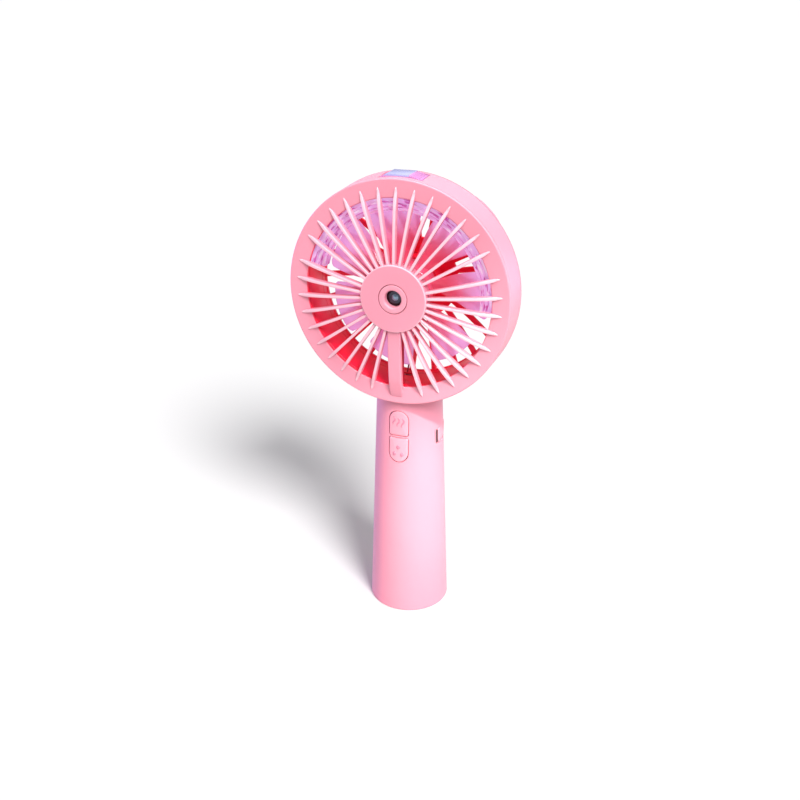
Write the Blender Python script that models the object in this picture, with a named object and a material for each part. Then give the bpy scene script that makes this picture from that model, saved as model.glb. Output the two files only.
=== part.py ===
"""Handheld battery misting fan: drum head on a tapered round handle.

Metres, +Z up.  The flat base rests on z = 0 with the handle's axis on x = y = 0,
and the front grille faces -Y.  Angles round the head run clockwise from the top,
as seen from the front.
"""

import math

import bmesh
import bpy
from mathutils import Matrix

# ---------------------------------------------------------------- driving sizes
HEAD_R = 0.0525            # outer radius of the drum head
HEAD_Z = 0.1696            # height of the head's axis above the base
BAND_DEPTH = 0.0161        # depth of the plain side band
DOME_DEPTH = 0.0174        # how far the rear cover bulges behind the band
BASE_R = 0.02005           # handle radius at the base
NECK_R = 0.01593           # handle radius where it meets the head
WALL = 0.0017              # wall of the handle and of the band
GAP = 0.0003               # clearance between neighbouring pieces
OPEN_R = 0.0440            # radius of the air opening
HUB_R = 0.0156             # front hub
HUB_PROUD = 0.0061         # hub face in front of the rim
RIM_PROUD = 0.0014         # crest of the rim in front of its side
RIB_W = 0.0012             # thickness of one rib
RIB_D = 0.0029             # depth of one rib
RIB_TIP_R = 0.0489         # radius of the rib tips, on the ring
BRIDGE_W = 0.0062          # width of the strip from hub to ring
GRILLE_BARS = 24           # rear bars
BAR_W = 0.0026
BLADES = 7
BLADE_R = 0.0390
BLADE_PHASE = -17.0        # degrees, one blade's middle at rest
ROTOR_HUB_R = 0.0115
TANK_IN_R = 0.0376
TANK_FROM, TANK_TO = -76.0, 97.0   # degrees round the head
TANK_DEPTH = 0.0092
TANK_WALL = 0.0011
NECK_BORE = 0.0032         # bore of the filler neck
CAP_X0, CAP_X1 = -0.0095, 0.0103   # filler flap, left and right
CAP_LEN = 0.0112           # flap, front to back
CAP_RISE = 0.0010          # flap's flat top above the band
BUTTON_W = 0.0094
BUTTON_Z = 0.09835         # middle of the pair of buttons
BUTTON_H = 0.0265          # both buttons together
BUTTON_WEB = 0.0013
BUTTON_PROUD = 0.0002
BUTTON_CORNER = 0.0010
BUTTON_GAP = 0.0004
PRESS = 0.0005             # travel of a button
PORT_Z = 0.0960
PORT_W, PORT_H = 0.0122, 0.0082
COVER_GAP = 0.00038        # round the port's cover
CELL_R, CELL_LEN = 0.0090, 0.0650
BOARD_T = 0.0012

# ---------------------------------------------------------------- derived sizes
RIM_Y = -(NECK_R + WALL - GAP) - 0.00007   # where the rim's rounding meets its side
BAND_REAR = RIM_Y + BAND_DEPTH
FACE_Y = RIM_Y - RIM_PROUD
HUB_Y = RIM_Y - HUB_PROUD
BAND_IN = HEAD_R - WALL
DOME_R = HEAD_R + 0.0005
RING_BACK = RIM_Y + 0.0007
DUCT_OUT = OPEN_R + 0.0012
WEB_FRONT = BAND_REAR - WALL
TANK_OUT_R = BAND_IN - 0.0014
TANK_Y0 = RING_BACK + GAP + 0.0002
TANK_Y1 = TANK_Y0 + TANK_DEPTH
NECK_Z = HEAD_Z - HEAD_R
CAP_Y0 = RIM_Y + 0.0027
CAP_Y1 = CAP_Y0 + CAP_LEN
LID_IN_R = TANK_OUT_R + 0.0012
HINGE_R = 0.0011
HINGE_X = CAP_X0 + HINGE_R
HINGE_Z = HEAD_Z + math.sqrt((HEAD_R - 0.0008) ** 2 - HINGE_X ** 2)
ROTOR_Y0 = RIM_Y + 0.0105
ROTOR_Y1 = ROTOR_Y0 + 0.0102
MOTOR_R = ROTOR_HUB_R - 0.0019
MOTOR_Y0 = ROTOR_Y0 + 0.0046
MOTOR_Y1 = BAND_REAR + DOME_DEPTH - 0.0042
SHAFT_R = 0.0010
BOARD_Y = -0.0088
PORT_FLOOR = NECK_R - 0.0008
CAP_T = 0.0022             # base cap
MOTOR_CUP = MOTOR_R + 0.0006
BOSS_R = 0.0031
BOSS_X = BASE_R - WALL + 0.0004 - BOSS_R  # screw posts run into the handle's wall

PINK = ("shell_pink", (0.98, 0.36, 0.46), 0.42, 0.0)
PALE = ("button_pink", (0.98, 0.47, 0.56), 0.45, 0.0)
LILAC = ("rotor_lilac", (0.78, 0.50, 0.80), 0.25, 0.0)
TANKY = ("tank_lavender", (0.72, 0.66, 0.93), 0.14, 0.0)
SEAL = ("seal_white", (0.85, 0.83, 0.84), 0.6, 0.0)
STEEL = ("bright_steel", (0.62, 0.63, 0.66), 0.28, 1.0)
CANM = ("motor_zinc", (0.55, 0.56, 0.58), 0.35, 1.0)
BRASS = ("bush_brass", (0.76, 0.58, 0.28), 0.35, 1.0)
BLACKP = ("black_nylon", (0.03, 0.03, 0.035), 0.5, 0.0)
COPPER = ("winding_copper", (0.72, 0.33, 0.16), 0.35, 1.0)
MAGNET = ("magnet_grey", (0.12, 0.12, 0.13), 0.6, 0.0)
CELLM = ("cell_sleeve", (0.13, 0.30, 0.62), 0.35, 0.0)
BOARDM = ("board_green", (0.03, 0.22, 0.10), 0.4, 0.0)
WICKM = ("wick_cotton", (0.90, 0.88, 0.84), 0.95, 0.0)
REDM = ("lead_red", (0.70, 0.03, 0.03), 0.45, 0.0)
DARKM = ("lead_black", (0.02, 0.02, 0.02), 0.45, 0.0)
TUBEM = ("tube_silicone", (0.86, 0.84, 0.90), 0.4, 0.0)
DISCM = ("disc_metal", (0.30, 0.36, 0.42), 0.22, 1.0)


# ---------------------------------------------------------------- small helpers
def clear():
    for obj in list(bpy.data.objects):
        bpy.data.objects.remove(obj, do_unlink=True)


def material(spec):
    name, colour, rough, metal = spec
    found = bpy.data.materials.get(name)
    if found:
        return found
    found = bpy.data.materials.new(name)
    found.use_nodes = True
    shader = found.node_tree.nodes["Principled BSDF"]
    shader.inputs["Base Color"].default_value = (*colour, 1.0)
    shader.inputs["Roughness"].default_value = rough
    shader.inputs["Metallic"].default_value = metal
    found.diffuse_color = (*colour, 1.0)
    return found


def finish(obj, angle=34.0):
    """Welds, turns faces outward and marks the sharp edges."""
    work = bmesh.new()
    work.from_mesh(obj.data)
    bmesh.ops.remove_doubles(work, verts=work.verts, dist=2e-6)
    bmesh.ops.dissolve_degenerate(work, edges=work.edges, dist=1e-6)
    bmesh.ops.recalc_face_normals(work, faces=work.faces)
    for face in work.faces:
        face.smooth = True
    for edge in work.edges:
        edge.smooth = not (len(edge.link_faces) == 2 and edge.calc_face_angle(0) > math.radians(angle))
    work.to_mesh(obj.data)
    work.free()
    obj.data.update()
    return obj


def solid(name, points, faces, spec):
    mesh = bpy.data.meshes.new(name)
    mesh.from_pydata(points, [], faces)
    obj = bpy.data.objects.new(name, mesh)
    bpy.context.scene.collection.objects.link(obj)
    mesh.materials.append(material(spec))
    return finish(obj)


def around(radius, degrees, y):
    a = math.radians(degrees)
    return (radius * math.sin(a), y, HEAD_Z + radius * math.cos(a))


def turned(profile, steps, start, stop, place):
    """Points and faces of a closed profile swept round an axis; a whole turn when stop - start is 360."""
    whole = abs(stop - start - 360.0) < 1e-9
    count = steps if whole else steps + 1
    points, faces, index = [], [], {}
    for i in range(count):
        turn = start + (stop - start) * i / steps
        for j, (r, h) in enumerate(profile):
            if r < 1e-9:
                if ("pole", j) not in index:
                    index["pole", j] = len(points)
                    points.append(place(0.0, 0.0, h))
                index[i, j] = index["pole", j]
            else:
                index[i, j] = len(points)
                points.append(place(r, turn, h))
    for i in range(steps):
        k = (i + 1) % count if whole else i + 1
        for j in range(len(profile)):
            m = (j + 1) % len(profile)
            ring = [index[i, j], index[i, m], index[k, m], index[k, j]]
            ring = [p for n, p in enumerate(ring) if p != ring[n - 1]]
            if len(ring) >= 3:
                faces.append(ring)
    if not whole:
        faces.append([index[0, j] for j in range(len(profile))])
        faces.append([index[count - 1, j] for j in reversed(range(len(profile)))])
    return points, faces


def lathe_y(name, profile, spec, steps=64, start=0.0, stop=360.0):
    """Profile of (radius, y) round the head's axis."""
    return solid(name, *turned(profile, steps, start, stop, around), spec)


def lathe_at(name, profile, spec, centre, axis="z", steps=24):
    """Profile of (radius, height) round a line through centre, along +x, +y or +z."""
    cx, cy, cz = centre

    def place(r, turn, h):
        u, v = r * math.cos(math.radians(turn)), r * math.sin(math.radians(turn))
        if axis == "z":
            return (cx + u, cy + v, cz + h)
        if axis == "y":
            return (cx + v, cy + h, cz + u)
        return (cx + h, cy + u, cz + v)

    return solid(name, *turned(profile, steps, 0.0, 360.0, place), spec)


def rod(radius, low, high):
    return [(0.0, low), (radius, low), (radius, high), (0.0, high)]


def loft(name, rings, spec):
    n = len(rings[0])
    points = [p for ring in rings for p in ring]
    faces = [list(range(n)), [len(points) - n + i for i in reversed(range(n))]]
    for j in range(len(rings) - 1):
        for i in range(n):
            k = (i + 1) % n
            faces.append([j * n + i, j * n + k, (j + 1) * n + k, (j + 1) * n + i])
    return solid(name, points, faces, spec)


def plate(name, outline, axis, low, high, spec):
    """A flat outline pushed out from low to high along x, y or z."""
    def put(p, h):
        return {"x": (h, p[0], p[1]), "y": (p[0], h, p[1]), "z": (p[0], p[1], h)}[axis]

    return loft(name, [[put(p, low) for p in outline], [put(p, high) for p in outline]], spec)


def block(name, x0, x1, y0, y1, z0, z1, spec=STEEL):
    return plate(name, [(x0, y0), (x1, y0), (x1, y1), (x0, y1)], "z", z0, z1, spec)


def tube(name, path, radius, spec, sides=6):
    """A round lead along a path of points."""
    rings, side = [], None
    for i, point in enumerate(path):
        a, b = path[max(i - 1, 0)], path[min(i + 1, len(path) - 1)]
        along = [b[k] - a[k] for k in range(3)]
        size = math.sqrt(sum(v * v for v in along))
        along = [v / size for v in along]
        if side is None:
            side = [0.0, 0.0, 1.0] if abs(along[2]) < 0.8 else [1.0, 0.0, 0.0]
        dot = sum(side[k] * along[k] for k in range(3))
        side = [side[k] - dot * along[k] for k in range(3)]
        size = math.sqrt(sum(v * v for v in side))
        side = [v / size for v in side]
        up = [along[1] * side[2] - along[2] * side[1], along[2] * side[0] - along[0] * side[2],
              along[0] * side[1] - along[1] * side[0]]
        ring = []
        for s in range(sides):
            t = 2 * math.pi * s / sides
            ring.append(tuple(point[k] + radius * (math.cos(t) * side[k] + math.sin(t) * up[k]) for k in range(3)))
        rings.append(ring)
    return loft(name, rings, spec)


def smooth_path(corners, times=2):
    """Rounds the corners of a path by cutting each at a quarter of its sides."""
    for _ in range(times):
        new = [corners[0]]
        for a, b in zip(corners, corners[1:]):
            new.append(tuple(0.75 * p + 0.25 * q for p, q in zip(a, b)))
            new.append(tuple(0.25 * p + 0.75 * q for p, q in zip(a, b)))
        corners = new + [corners[-1]]
    return corners


def combine(target, others, operation):
    """Joins or cuts with the exact solver, then drops the helpers."""
    for other in others:
        step = target.modifiers.new("cut", "BOOLEAN")
        step.operation, step.solver, step.object = operation, "EXACT", other
    bpy.context.view_layer.update()
    graph = bpy.context.evaluated_depsgraph_get()
    made = bpy.data.meshes.new_from_object(target.evaluated_get(graph))
    target.modifiers.clear()
    old, name = target.data, target.data.name
    target.data = made
    bpy.data.meshes.remove(old)
    made.name = name
    keep = made.materials[0]
    made.materials.clear()
    made.materials.append(keep)
    for face in made.polygons:
        face.material_index = 0
    for other in others:
        bpy.data.objects.remove(other, do_unlink=True)
    return finish(target)


def gather(name, pieces):
    """One mesh of several separate solids, for one cut or one join."""
    points, faces = [], []
    for piece in pieces:
        base = len(points)
        points += [tuple(v.co) for v in piece.data.vertices]
        faces += [[base + i for i in f.vertices] for f in piece.data.polygons]
        spec = piece.data.materials[0]
        bpy.data.objects.remove(piece, do_unlink=True)
    mesh = bpy.data.meshes.new(name)
    mesh.from_pydata(points, [], faces)
    obj = bpy.data.objects.new(name, mesh)
    bpy.context.scene.collection.objects.link(obj)
    mesh.materials.append(spec)
    return finish(obj)


def pair_at(low, high, t):
    return low + (high - low) * t


def handle_r(z):
    return pair_at(BASE_R, NECK_R, z / NECK_Z)


def dome_y(r):
    """Outside of the rear cover at radius r."""
    return BAND_REAR + DOME_DEPTH * (1.0 - (r / DOME_R) ** 2)


# ---------------------------------------------------------------- head, front
def rib(angle):
    """One blade-like rib from the hub's side down onto the ring."""
    stations = [(HUB_R - 0.0005, HUB_Y + 0.0010, 1.0), (0.030, HUB_Y + 0.0016, 1.0),
                (0.0395, HUB_Y + 0.0025, 0.97), (0.0445, HUB_Y + 0.0036, 0.86),
                (RIB_TIP_R - 0.0014, HUB_Y + 0.0047, 0.60), (RIB_TIP_R, FACE_Y + 0.0005, 0.22)]
    back = FACE_Y + 0.0009
    a = math.radians(angle)
    rings = []
    for r, front, wide in stations:
        deep = min(front + RIB_D, back + 0.0004)
        if r > OPEN_R - 0.0020:
            deep = back
        half = 0.5 * RIB_W * wide
        ring = []
        for s, y in ((-half, deep), (-0.75 * half, front), (0.75 * half, front), (half, deep)):
            ring.append((r * math.sin(a) + s * math.cos(a), y, HEAD_Z + r * math.cos(a) - s * math.sin(a)))
        rings.append(ring)
    return loft("rib", rings, PINK)


def bridge():
    """The wide strip straight down from the hub, with a rounded foot on the ring."""
    stations = [(HUB_R - 0.0006, HUB_Y + 0.0012, 1.0), (0.030, HUB_Y + 0.0015, 1.0),
                (0.039, HUB_Y + 0.0021, 1.0), (0.0435, HUB_Y + 0.0030, 1.0),
                (0.0470, HUB_Y + 0.0041, 1.0), (0.0485, FACE_Y + 0.0001, 0.90),
                (0.0493, FACE_Y + 0.0004, 0.62)]
    rings = []
    for r, front, wide in stations:
        half = 0.5 * BRIDGE_W * wide
        deep = min(front + 0.0024, FACE_Y + 0.0009)
        if r > OPEN_R - 0.0010:
            deep = FACE_Y + 0.0009
        rings.append([(x, y, HEAD_Z - r) for x, y in
                      ((-half, deep), (-half, front + 0.0005), (-half + 0.0005, front),
                       (half - 0.0005, front), (half, front + 0.0005), (half, deep))])
    return loft("bridge", rings, PINK)


def rib_angles():
    """Even pitch, with a wider gap either side of the bridge and at ten and two o'clock."""
    pitch, wide = 10.0, 15.0
    top = [pitch * k for k in range(-6, 7)]
    side = [top[-1] + wide + pitch * k for k in range(10)]
    return top + side + [-a for a in side]


def front_grille():
    ring = lathe_y("front_grille", [
        (OPEN_R, RING_BACK), (OPEN_R, FACE_Y + 0.0013), (OPEN_R + 0.0004, FACE_Y + 0.0008),
        (RIB_TIP_R - 0.001, FACE_Y + 0.0004),
        (HEAD_R - 0.0013, FACE_Y), (HEAD_R - 0.0005, FACE_Y + 0.0003), (HEAD_R - 0.0001, FACE_Y + 0.0008),
        (HEAD_R, RIM_Y + 0.0002), (BAND_IN - GAP, RIM_Y + 0.0002),
        (BAND_IN - GAP, RING_BACK + 0.0012), (BAND_IN - 0.0010, RING_BACK + 0.0012),
        (BAND_IN - 0.0010, RING_BACK)], PINK, steps=72)
    inner = HUB_R - 0.0013
    hub = lathe_y("hub", [
        (HUB_BORE, HUB_Y), (HUB_R - 0.0005, HUB_Y), (HUB_R - 0.0001, HUB_Y + 0.0002), (HUB_R, HUB_Y + 0.0006),
        (HUB_R, RIM_Y), (inner, RIM_Y), (inner, HUB_Y + 0.0016), (HUB_BORE, HUB_Y + 0.0016)], PINK, steps=48)
    base = gather("front_grille", [ring, hub])
    spokes = gather("spokes", [rib(a) for a in rib_angles()] + [bridge()])
    base = combine(base, [spokes], "UNION")
    base.name = base.data.name = "front_grille"
    return base


HUB_BORE = 0.0069


def misting_unit():
    """Bezel, mist disc, its seal, the wick, and the plate that closes the hub."""
    face = HUB_Y
    lathe_y("nozzle_bezel", [
        (0.0039, face + 0.0003), (0.0046, face - 0.0001), (0.0058, face - 0.0001),
        (HUB_BORE - GAP, face + 0.0004), (HUB_BORE - GAP, face + 0.0016 + GAP), (0.0082, face + 0.0016 + GAP),
        (0.0082, face + 0.0031), (0.0039, face + 0.0031)], PALE, steps=32)
    back = face + 0.0031 + GAP
    lathe_y("mist_disc", [
        (0.0, back - 0.0004), (0.0012, back - 0.0003), (0.0016, back), (0.0060, back), (0.0060, back + 0.0004),
        (0.0016, back + 0.0004), (0.0012, back + 0.0001), (0.0, back)], DISCM, steps=24)
    lathe_y("mist_seal", [
        (0.0031, back + 0.0007), (0.0066, back + 0.0007), (0.0066, back + 0.0028), (0.0031, back + 0.0028)],
        SEAL, steps=24)
    lathe_y("mist_wick", rod(0.0026, back + 0.0008, back + 0.0068), WICKM, steps=20)
    plate_r = HUB_R - 0.0013 - GAP
    lathe_y("hub_plate", [
        (0.0030, back + 0.0032), (0.0072, back + 0.0032), (0.0072, RIM_Y + 0.0001), (plate_r, RIM_Y + 0.0001),
        (plate_r, RIM_Y + 0.0012), (0.0049, RIM_Y + 0.0012), (0.0049, back + 0.0078), (0.0030, back + 0.0078)],
        PINK, steps=28)


# ---------------------------------------------------------------- body and rear
def column_ring(inset, z):
    r = handle_r(z) - inset
    return [(r * math.cos(2 * math.pi * i / 48), r * math.sin(2 * math.pi * i / 48), z) for i in range(48)]


SHOULDER_DROP = 0.0125      # height of the rounded shoulder behind the head


def behind(name, drop, inset):
    """Everything above the rounded shoulder that closes the handle's top behind the band."""
    low = NECK_Z - drop
    y0 = BAND_REAR - 0.0002 - 0.5 * inset
    reach = NECK_R + 0.0002 - inset - y0
    curve = [(y0 + reach * math.sin(math.radians(a)), low - SHOULDER_DROP * (1.0 - math.cos(math.radians(a))))
             for a in range(0, 91, 9)]
    return plate(name, curve + [(0.030, low - SHOULDER_DROP), (0.030, HEAD_Z), (y0, HEAD_Z)],
                 "x", -0.030, 0.030, PINK)


def body_shell():
    band = lathe_y("body_shell", [
        (HEAD_R, RIM_Y + 0.0002 + GAP), (HEAD_R + 0.0005, BAND_REAR), (OPEN_R, BAND_REAR),
        (OPEN_R, TANK_Y0), (DUCT_OUT, TANK_Y0), (DUCT_OUT, WEB_FRONT), (BAND_IN, WEB_FRONT),
        (BAND_IN, RIM_Y + 0.0002 + GAP)], PINK, steps=80)
    column = loft("column", [
        column_ring(0.0007, 0.0), column_ring(0.0002, 0.0002), column_ring(0.0, 0.0008),
        column_ring(0.0, 0.5 * NECK_Z), column_ring(0.0, NECK_Z + 0.008)], PINK)
    seat = lathe_y("seat", rod(HEAD_R - 0.5 * WALL, -0.030, BAND_REAR - 0.0004), PINK, steps=80)
    column = combine(column, [seat, behind("shoulder", 0.0008, 0.0)], "DIFFERENCE")
    shell = combine(band, [column], "UNION")

    bore = loft("bore", [column_ring(WALL, -0.002), column_ring(WALL, 0.5 * NECK_Z),
                         column_ring(WALL, NECK_Z - 0.0022)], PINK)
    bore = combine(bore, [behind("bore_top", 0.0008 + WALL, WALL)], "DIFFERENCE")
    wire_way = block("wire_way", -0.0045, 0.0045, RIM_Y + 0.0048, WEB_FRONT - 0.0008,
                     NECK_Z - 0.008, HEAD_Z - BAND_IN + 0.0015)
    tank_bay = lathe_y("tank_bay", [
        (OPEN_R - 0.002, RIM_Y - 0.002), (DUCT_OUT + 0.0004, RIM_Y - 0.002),
        (DUCT_OUT + 0.0004, TANK_Y1 + GAP + 0.0002), (OPEN_R - 0.002, TANK_Y1 + GAP + 0.0002)],
        PINK, steps=60, start=TANK_FROM - 1.5, stop=TANK_TO + 1.5)
    foot_gate = block("foot_gate", -0.0042, 0.0044, RIM_Y - 0.001, RIM_Y + 0.0076,
                      HEAD_Z - DUCT_OUT - 0.0008, HEAD_Z - OPEN_R + 0.0016)
    rear_gate = block("rear_gate", -0.0026, 0.0026, WEB_FRONT - 0.0012, BAND_REAR + 0.001,
                      HEAD_Z - 0.0490, HEAD_Z - OPEN_R + 0.0016)
    flap_bay = block("flap_bay", CAP_X0 - GAP, CAP_X1 + GAP, CAP_Y0 - GAP, CAP_Y1 + GAP,
                     HEAD_Z + 0.042, HEAD_Z + HEAD_R + 0.004)
    combine(shell, [bore, wire_way, tank_bay, foot_gate, rear_gate, flap_bay], "DIFFERENCE")

    bosses = [lathe_at("boss", rod(BOSS_R, CAP_T + GAP, 0.011), PINK, (s * BOSS_X, 0.0, 0.0)) for s in (-1, 1)]
    bosses.append(rounded("pad", PORT_W + 0.0014, PORT_H + 0.0018, 0.0022, PORT_FLOOR - 0.0022, PORT_FLOOR + 0.0004))
    shell = combine(shell, [gather("bosses", bosses)], "UNION")
    cutters = [lathe_at("pilot", rod(SCREW_R + GAP, 0.0, 0.0095), PINK, (s * BOSS_X, 0.0, 0.0)) for s in (-1, 1)]
    for a in COVER_SCREWS:
        x, _, z = around(COVER_SCREW_R, a, 0.0)
        cutters.append(lathe_at("pilot", rod(SCREW_R + GAP, WEB_FRONT - 0.001, BAND_REAR + 0.001), PINK,
                                (x, 0.0, z), "y", 16))
    cutters += [button_prism(top, BUTTON_GAP, -0.030, -0.005) for top in (True, False)]
    cutters.append(rounded("port_bay", PORT_W, PORT_H, 0.0016, PORT_FLOOR, 0.030))
    cutters.append(rounded("port_hole", 0.0096, 0.0039, 0.0017, 0.008, 0.030))
    combine(shell, [gather("small_cuts", cutters[:-1])], "DIFFERENCE")
    shell = combine(shell, [cutters[-1]], "DIFFERENCE")
    shell.name = shell.data.name = "body_shell"
    return shell


SCREW_R = 0.0009
COVER_SCREWS = (45.0, 120.0, 240.0, 315.0)
COVER_SCREW_R = 0.0480


def rounded(name, wide, high, corner, x0, x1):
    """A rounded block across the handle at the port's height, long side along y."""
    outline = []
    for cy, cz, first in ((1, 1, 0), (-1, 1, 90), (-1, -1, 180), (1, -1, 270)):
        for k in range(5):
            a = math.radians(first + 22.5 * k)
            outline.append((cy * (0.5 * wide - corner) + corner * math.cos(a),
                            PORT_Z + cz * (0.5 * high - corner) + corner * math.sin(a)))
    return plate(name, outline, "x", x0, x1, PINK)


def button_prism(top, grow, y0, y1):
    """One half of the capsule of buttons, grown all round, from y0 to y1."""
    r = 0.5 * BUTTON_W + grow
    reach = 0.5 * BUTTON_H - 0.5 * BUTTON_W
    flat = 0.5 * BUTTON_WEB - grow
    c = BUTTON_CORNER + grow
    outline = []
    for side, first in ((-1, 180), (1, 270)):
        for k in range(4):
            a = math.radians(first + 30 * k)
            outline.append((side * (r - c) + c * math.cos(a), flat + c + c * math.sin(a)))
    for k in range(13):
        a = math.pi * k / 12
        outline.append((r * math.cos(a), reach + r * math.sin(a)))
    sign = 1.0 if top else -1.0
    return plate("button_cut", [(x, BUTTON_Z + sign * z) for x, z in outline], "y", y0, y1, PALE)


def button(name, top):
    """A key: curved face level with the handle, a flange behind the wall and a stem."""
    key = button_prism(top, 0.0, -0.030, -(NECK_R - WALL) + 0.0016)
    skin = lathe_at("skin", [(0.0, 0.07), (handle_r(0.07) + BUTTON_PROUD, 0.07),
                             (handle_r(0.115) + BUTTON_PROUD, 0.115), (0.0, 0.115)], PALE, (0, 0, 0), steps=96)
    key = combine(key, [skin], "INTERSECT")
    sign = 1.0 if top else -1.0
    middle = BUTTON_Z + sign * 0.25 * (BUTTON_H + BUTTON_WEB)
    y0 = -(NECK_R - WALL) + 0.0014
    flange = block("flange", -0.0058, 0.0058, y0, y0 + 0.0010, middle - 0.0060, middle + 0.0060)
    stem = lathe_at("stem", rod(0.0013, y0 + 0.0005, BOARD_Y - 0.0021 - PRESS), PALE, (0, 0, middle), "y", 16)
    key = combine(key, [flange, stem], "UNION")
    key.name = key.data.name = name
    lathe_at(name.replace("button", "switch"), [
        (0.0, BOARD_Y - 0.0020), (0.0011, BOARD_Y - 0.0020), (0.0011, BOARD_Y - 0.0014),
        (0.0026, BOARD_Y - 0.0014), (0.0026, BOARD_Y - GAP), (0.0, BOARD_Y - GAP)], BLACKP, (0, 0, middle), "y", 20)


def port_cover():
    """Soft cover over the charging port, level with the handle and hinged at its rear edge."""
    lid = rounded("port_cover", PORT_W - 2 * COVER_GAP, PORT_H - 2 * COVER_GAP, 0.0013,
                  PORT_FLOOR + GAP, 0.030)
    skin = lathe_at("skin", [(0.0, 0.07), (handle_r(0.07) - 0.0001, 0.07),
                             (handle_r(0.115) - 0.0001, 0.115), (0.0, 0.115)], PALE, (0, 0, 0), steps=96)
    lid = combine(lid, [skin], "INTERSECT")
    lid.data.materials[0] = material(PALE)
    lid.name = lid.data.name = "port_cover"


def rear_cover():
    outer = [(DOME_R * t, dome_y(DOME_R * t)) for t in (0.22, 0.40, 0.60, 0.80, 0.93)]
    outer = [(0.0, dome_y(0.0))] + outer + [
        (DOME_R - 0.0001, BAND_REAR + GAP + 0.0006), (DOME_R, BAND_REAR + GAP)]
    wall = 0.0018
    inner = [(DOME_R * t, dome_y(DOME_R * t) - wall) for t in (0.62, 0.40)]
    inner = [(OPEN_R, BAND_REAR + GAP), (OPEN_R, dome_y(OPEN_R) - wall)] + inner
    cup = [(MOTOR_CUP + 0.0014, dome_y(MOTOR_CUP + 0.0014) - wall), (MOTOR_CUP + 0.0014, ROTOR_Y1 + 0.0022),
           (MOTOR_CUP, ROTOR_Y1 + 0.0022), (MOTOR_CUP, MOTOR_Y1 + GAP), (0.0, MOTOR_Y1 + GAP)]
    cover = lathe_y("rear_cover", outer + inner + cup, PINK, steps=72)
    slots = []
    pitch = 360.0 / GRILLE_BARS
    low, high = 0.0195, 0.0436
    for k in range(GRILLE_BARS):
        a = math.radians(pitch * (k + 0.5))
        half = math.radians(0.5 * pitch)
        outline = []
        for r, sign in ((low, -1), (high, -1), (high, 0), (high, 1), (low, 1)):
            inside = math.asin(0.5 * BAR_W / r)
            t = a + sign * (half - inside)
            outline.append((r * math.sin(t), HEAD_Z + r * math.cos(t)))
        slots.append(plate("slot", outline, "y", BAND_REAR, dome_y(0.0) + 0.003, PINK))
    cover = combine(cover, [gather("slots", slots)], "DIFFERENCE")
    grip = []
    for k in range(9):
        t = k / 8
        a = pair_at(34.0, 52.0, t)
        lift = 0.0006 * math.sin(math.pi * t) ** 0.5 if 0 < t < 1 else 0.0
        grip.append([around(r, a, y) for r, y in (
            (DOME_R - 0.0010, BAND_REAR + GAP), (DOME_R + lift - 0.00005, BAND_REAR + GAP),
            (DOME_R + lift - 0.0001, BAND_REAR + 0.0026), (DOME_R - 0.0016, BAND_REAR + 0.0040),
            (DOME_R - 0.0035, BAND_REAR + 0.0018))])
    cover = combine(cover, [loft("grip", grip, PINK)], "UNION")
    cuts = [block("rear_gate", -0.0026, 0.0026, BAND_REAR, BAND_REAR + 0.0019,
                  HEAD_Z - 0.0490, HEAD_Z - OPEN_R + 0.0010)]
    for a in COVER_SCREWS:
        x, _, z = around(COVER_SCREW_R, a, 0.0)
        cuts.append(lathe_at("pilot", rod(SCREW_R + GAP, BAND_REAR - 0.001, BAND_REAR + 0.0020), PINK,
                             (x, 0.0, z), "y", 16))
    for s in (-1, 1):
        cuts.append(lathe_at("pilot", [
            (0.0, MOTOR_Y1 - 0.001), (SCREW_R + GAP, MOTOR_Y1 - 0.001), (SCREW_R + GAP, dome_y(0.0) - 0.0016),
            (0.0016 + GAP, dome_y(0.0) - 0.0016), (0.0016 + GAP, dome_y(0.0) + 0.001), (0.0, dome_y(0.0) + 0.001)],
            PINK, (s * 0.0052, 0.0, HEAD_Z), "y", 16))
    cover = combine(cover, [gather("cuts", cuts)], "DIFFERENCE")
    cover.name = cover.data.name = "rear_cover"
    return cover


def screw(name, centre, axis, head_low, length, flip=False, head_r=0.0018):
    s = -1.0 if flip else 1.0
    profile = [(0.0, 0.0004), (0.0007, 0.0004), (0.0007, 0.0), (head_r - 0.0003, 0.0), (head_r, 0.0010),
               (SCREW_R, 0.0010), (SCREW_R, length - 0.0004), (0.0, length)]
    return lathe_at(name, [(r, head_low + s * h) for r, h in profile], STEEL, centre, axis, 12)


def screws():
    for n, a in enumerate(COVER_SCREWS, 1):
        x, _, z = around(COVER_SCREW_R, a, 0.0)
        head = WEB_FRONT - 0.0010 - GAP
        screw(f"cover_screw_{n}", (x, 0.0, z), "y", head, BAND_REAR + 0.0017 - head)
    for n, s in enumerate((-1, 1), 1):
        screw(f"base_screw_{n}", (s * BOSS_X, 0.0, 0.0), "z", 0.0004, 0.0082)
    for n, a in enumerate((90.0, 270.0), 1):
        x, _, z = around(0.0052, a, 0.0)
        screw(f"motor_screw_{n}", (x, 0.0, z), "y", dome_y(0.0) - 0.0003, 0.0046, True, 0.0016)


# ---------------------------------------------------------------- water system
def tank_profile(off):
    y0, y1 = TANK_Y0 + off, TANK_Y1 - off
    return [(TANK_IN_R + off, y0 + 0.0018), (TANK_IN_R + 0.0018 + off, y0 + 0.0018),
            (TANK_IN_R + 0.0018 + off, y0 + 0.0009), (TANK_IN_R + 0.0040 + off, y0 + 0.0009),
            (TANK_IN_R + 0.0040 + off, y0), (TANK_OUT_R - off, y0), (TANK_OUT_R - off, y1),
            (TANK_IN_R + 0.0022 + off, y1), (TANK_IN_R + off, y1 - 0.0016)]


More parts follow.
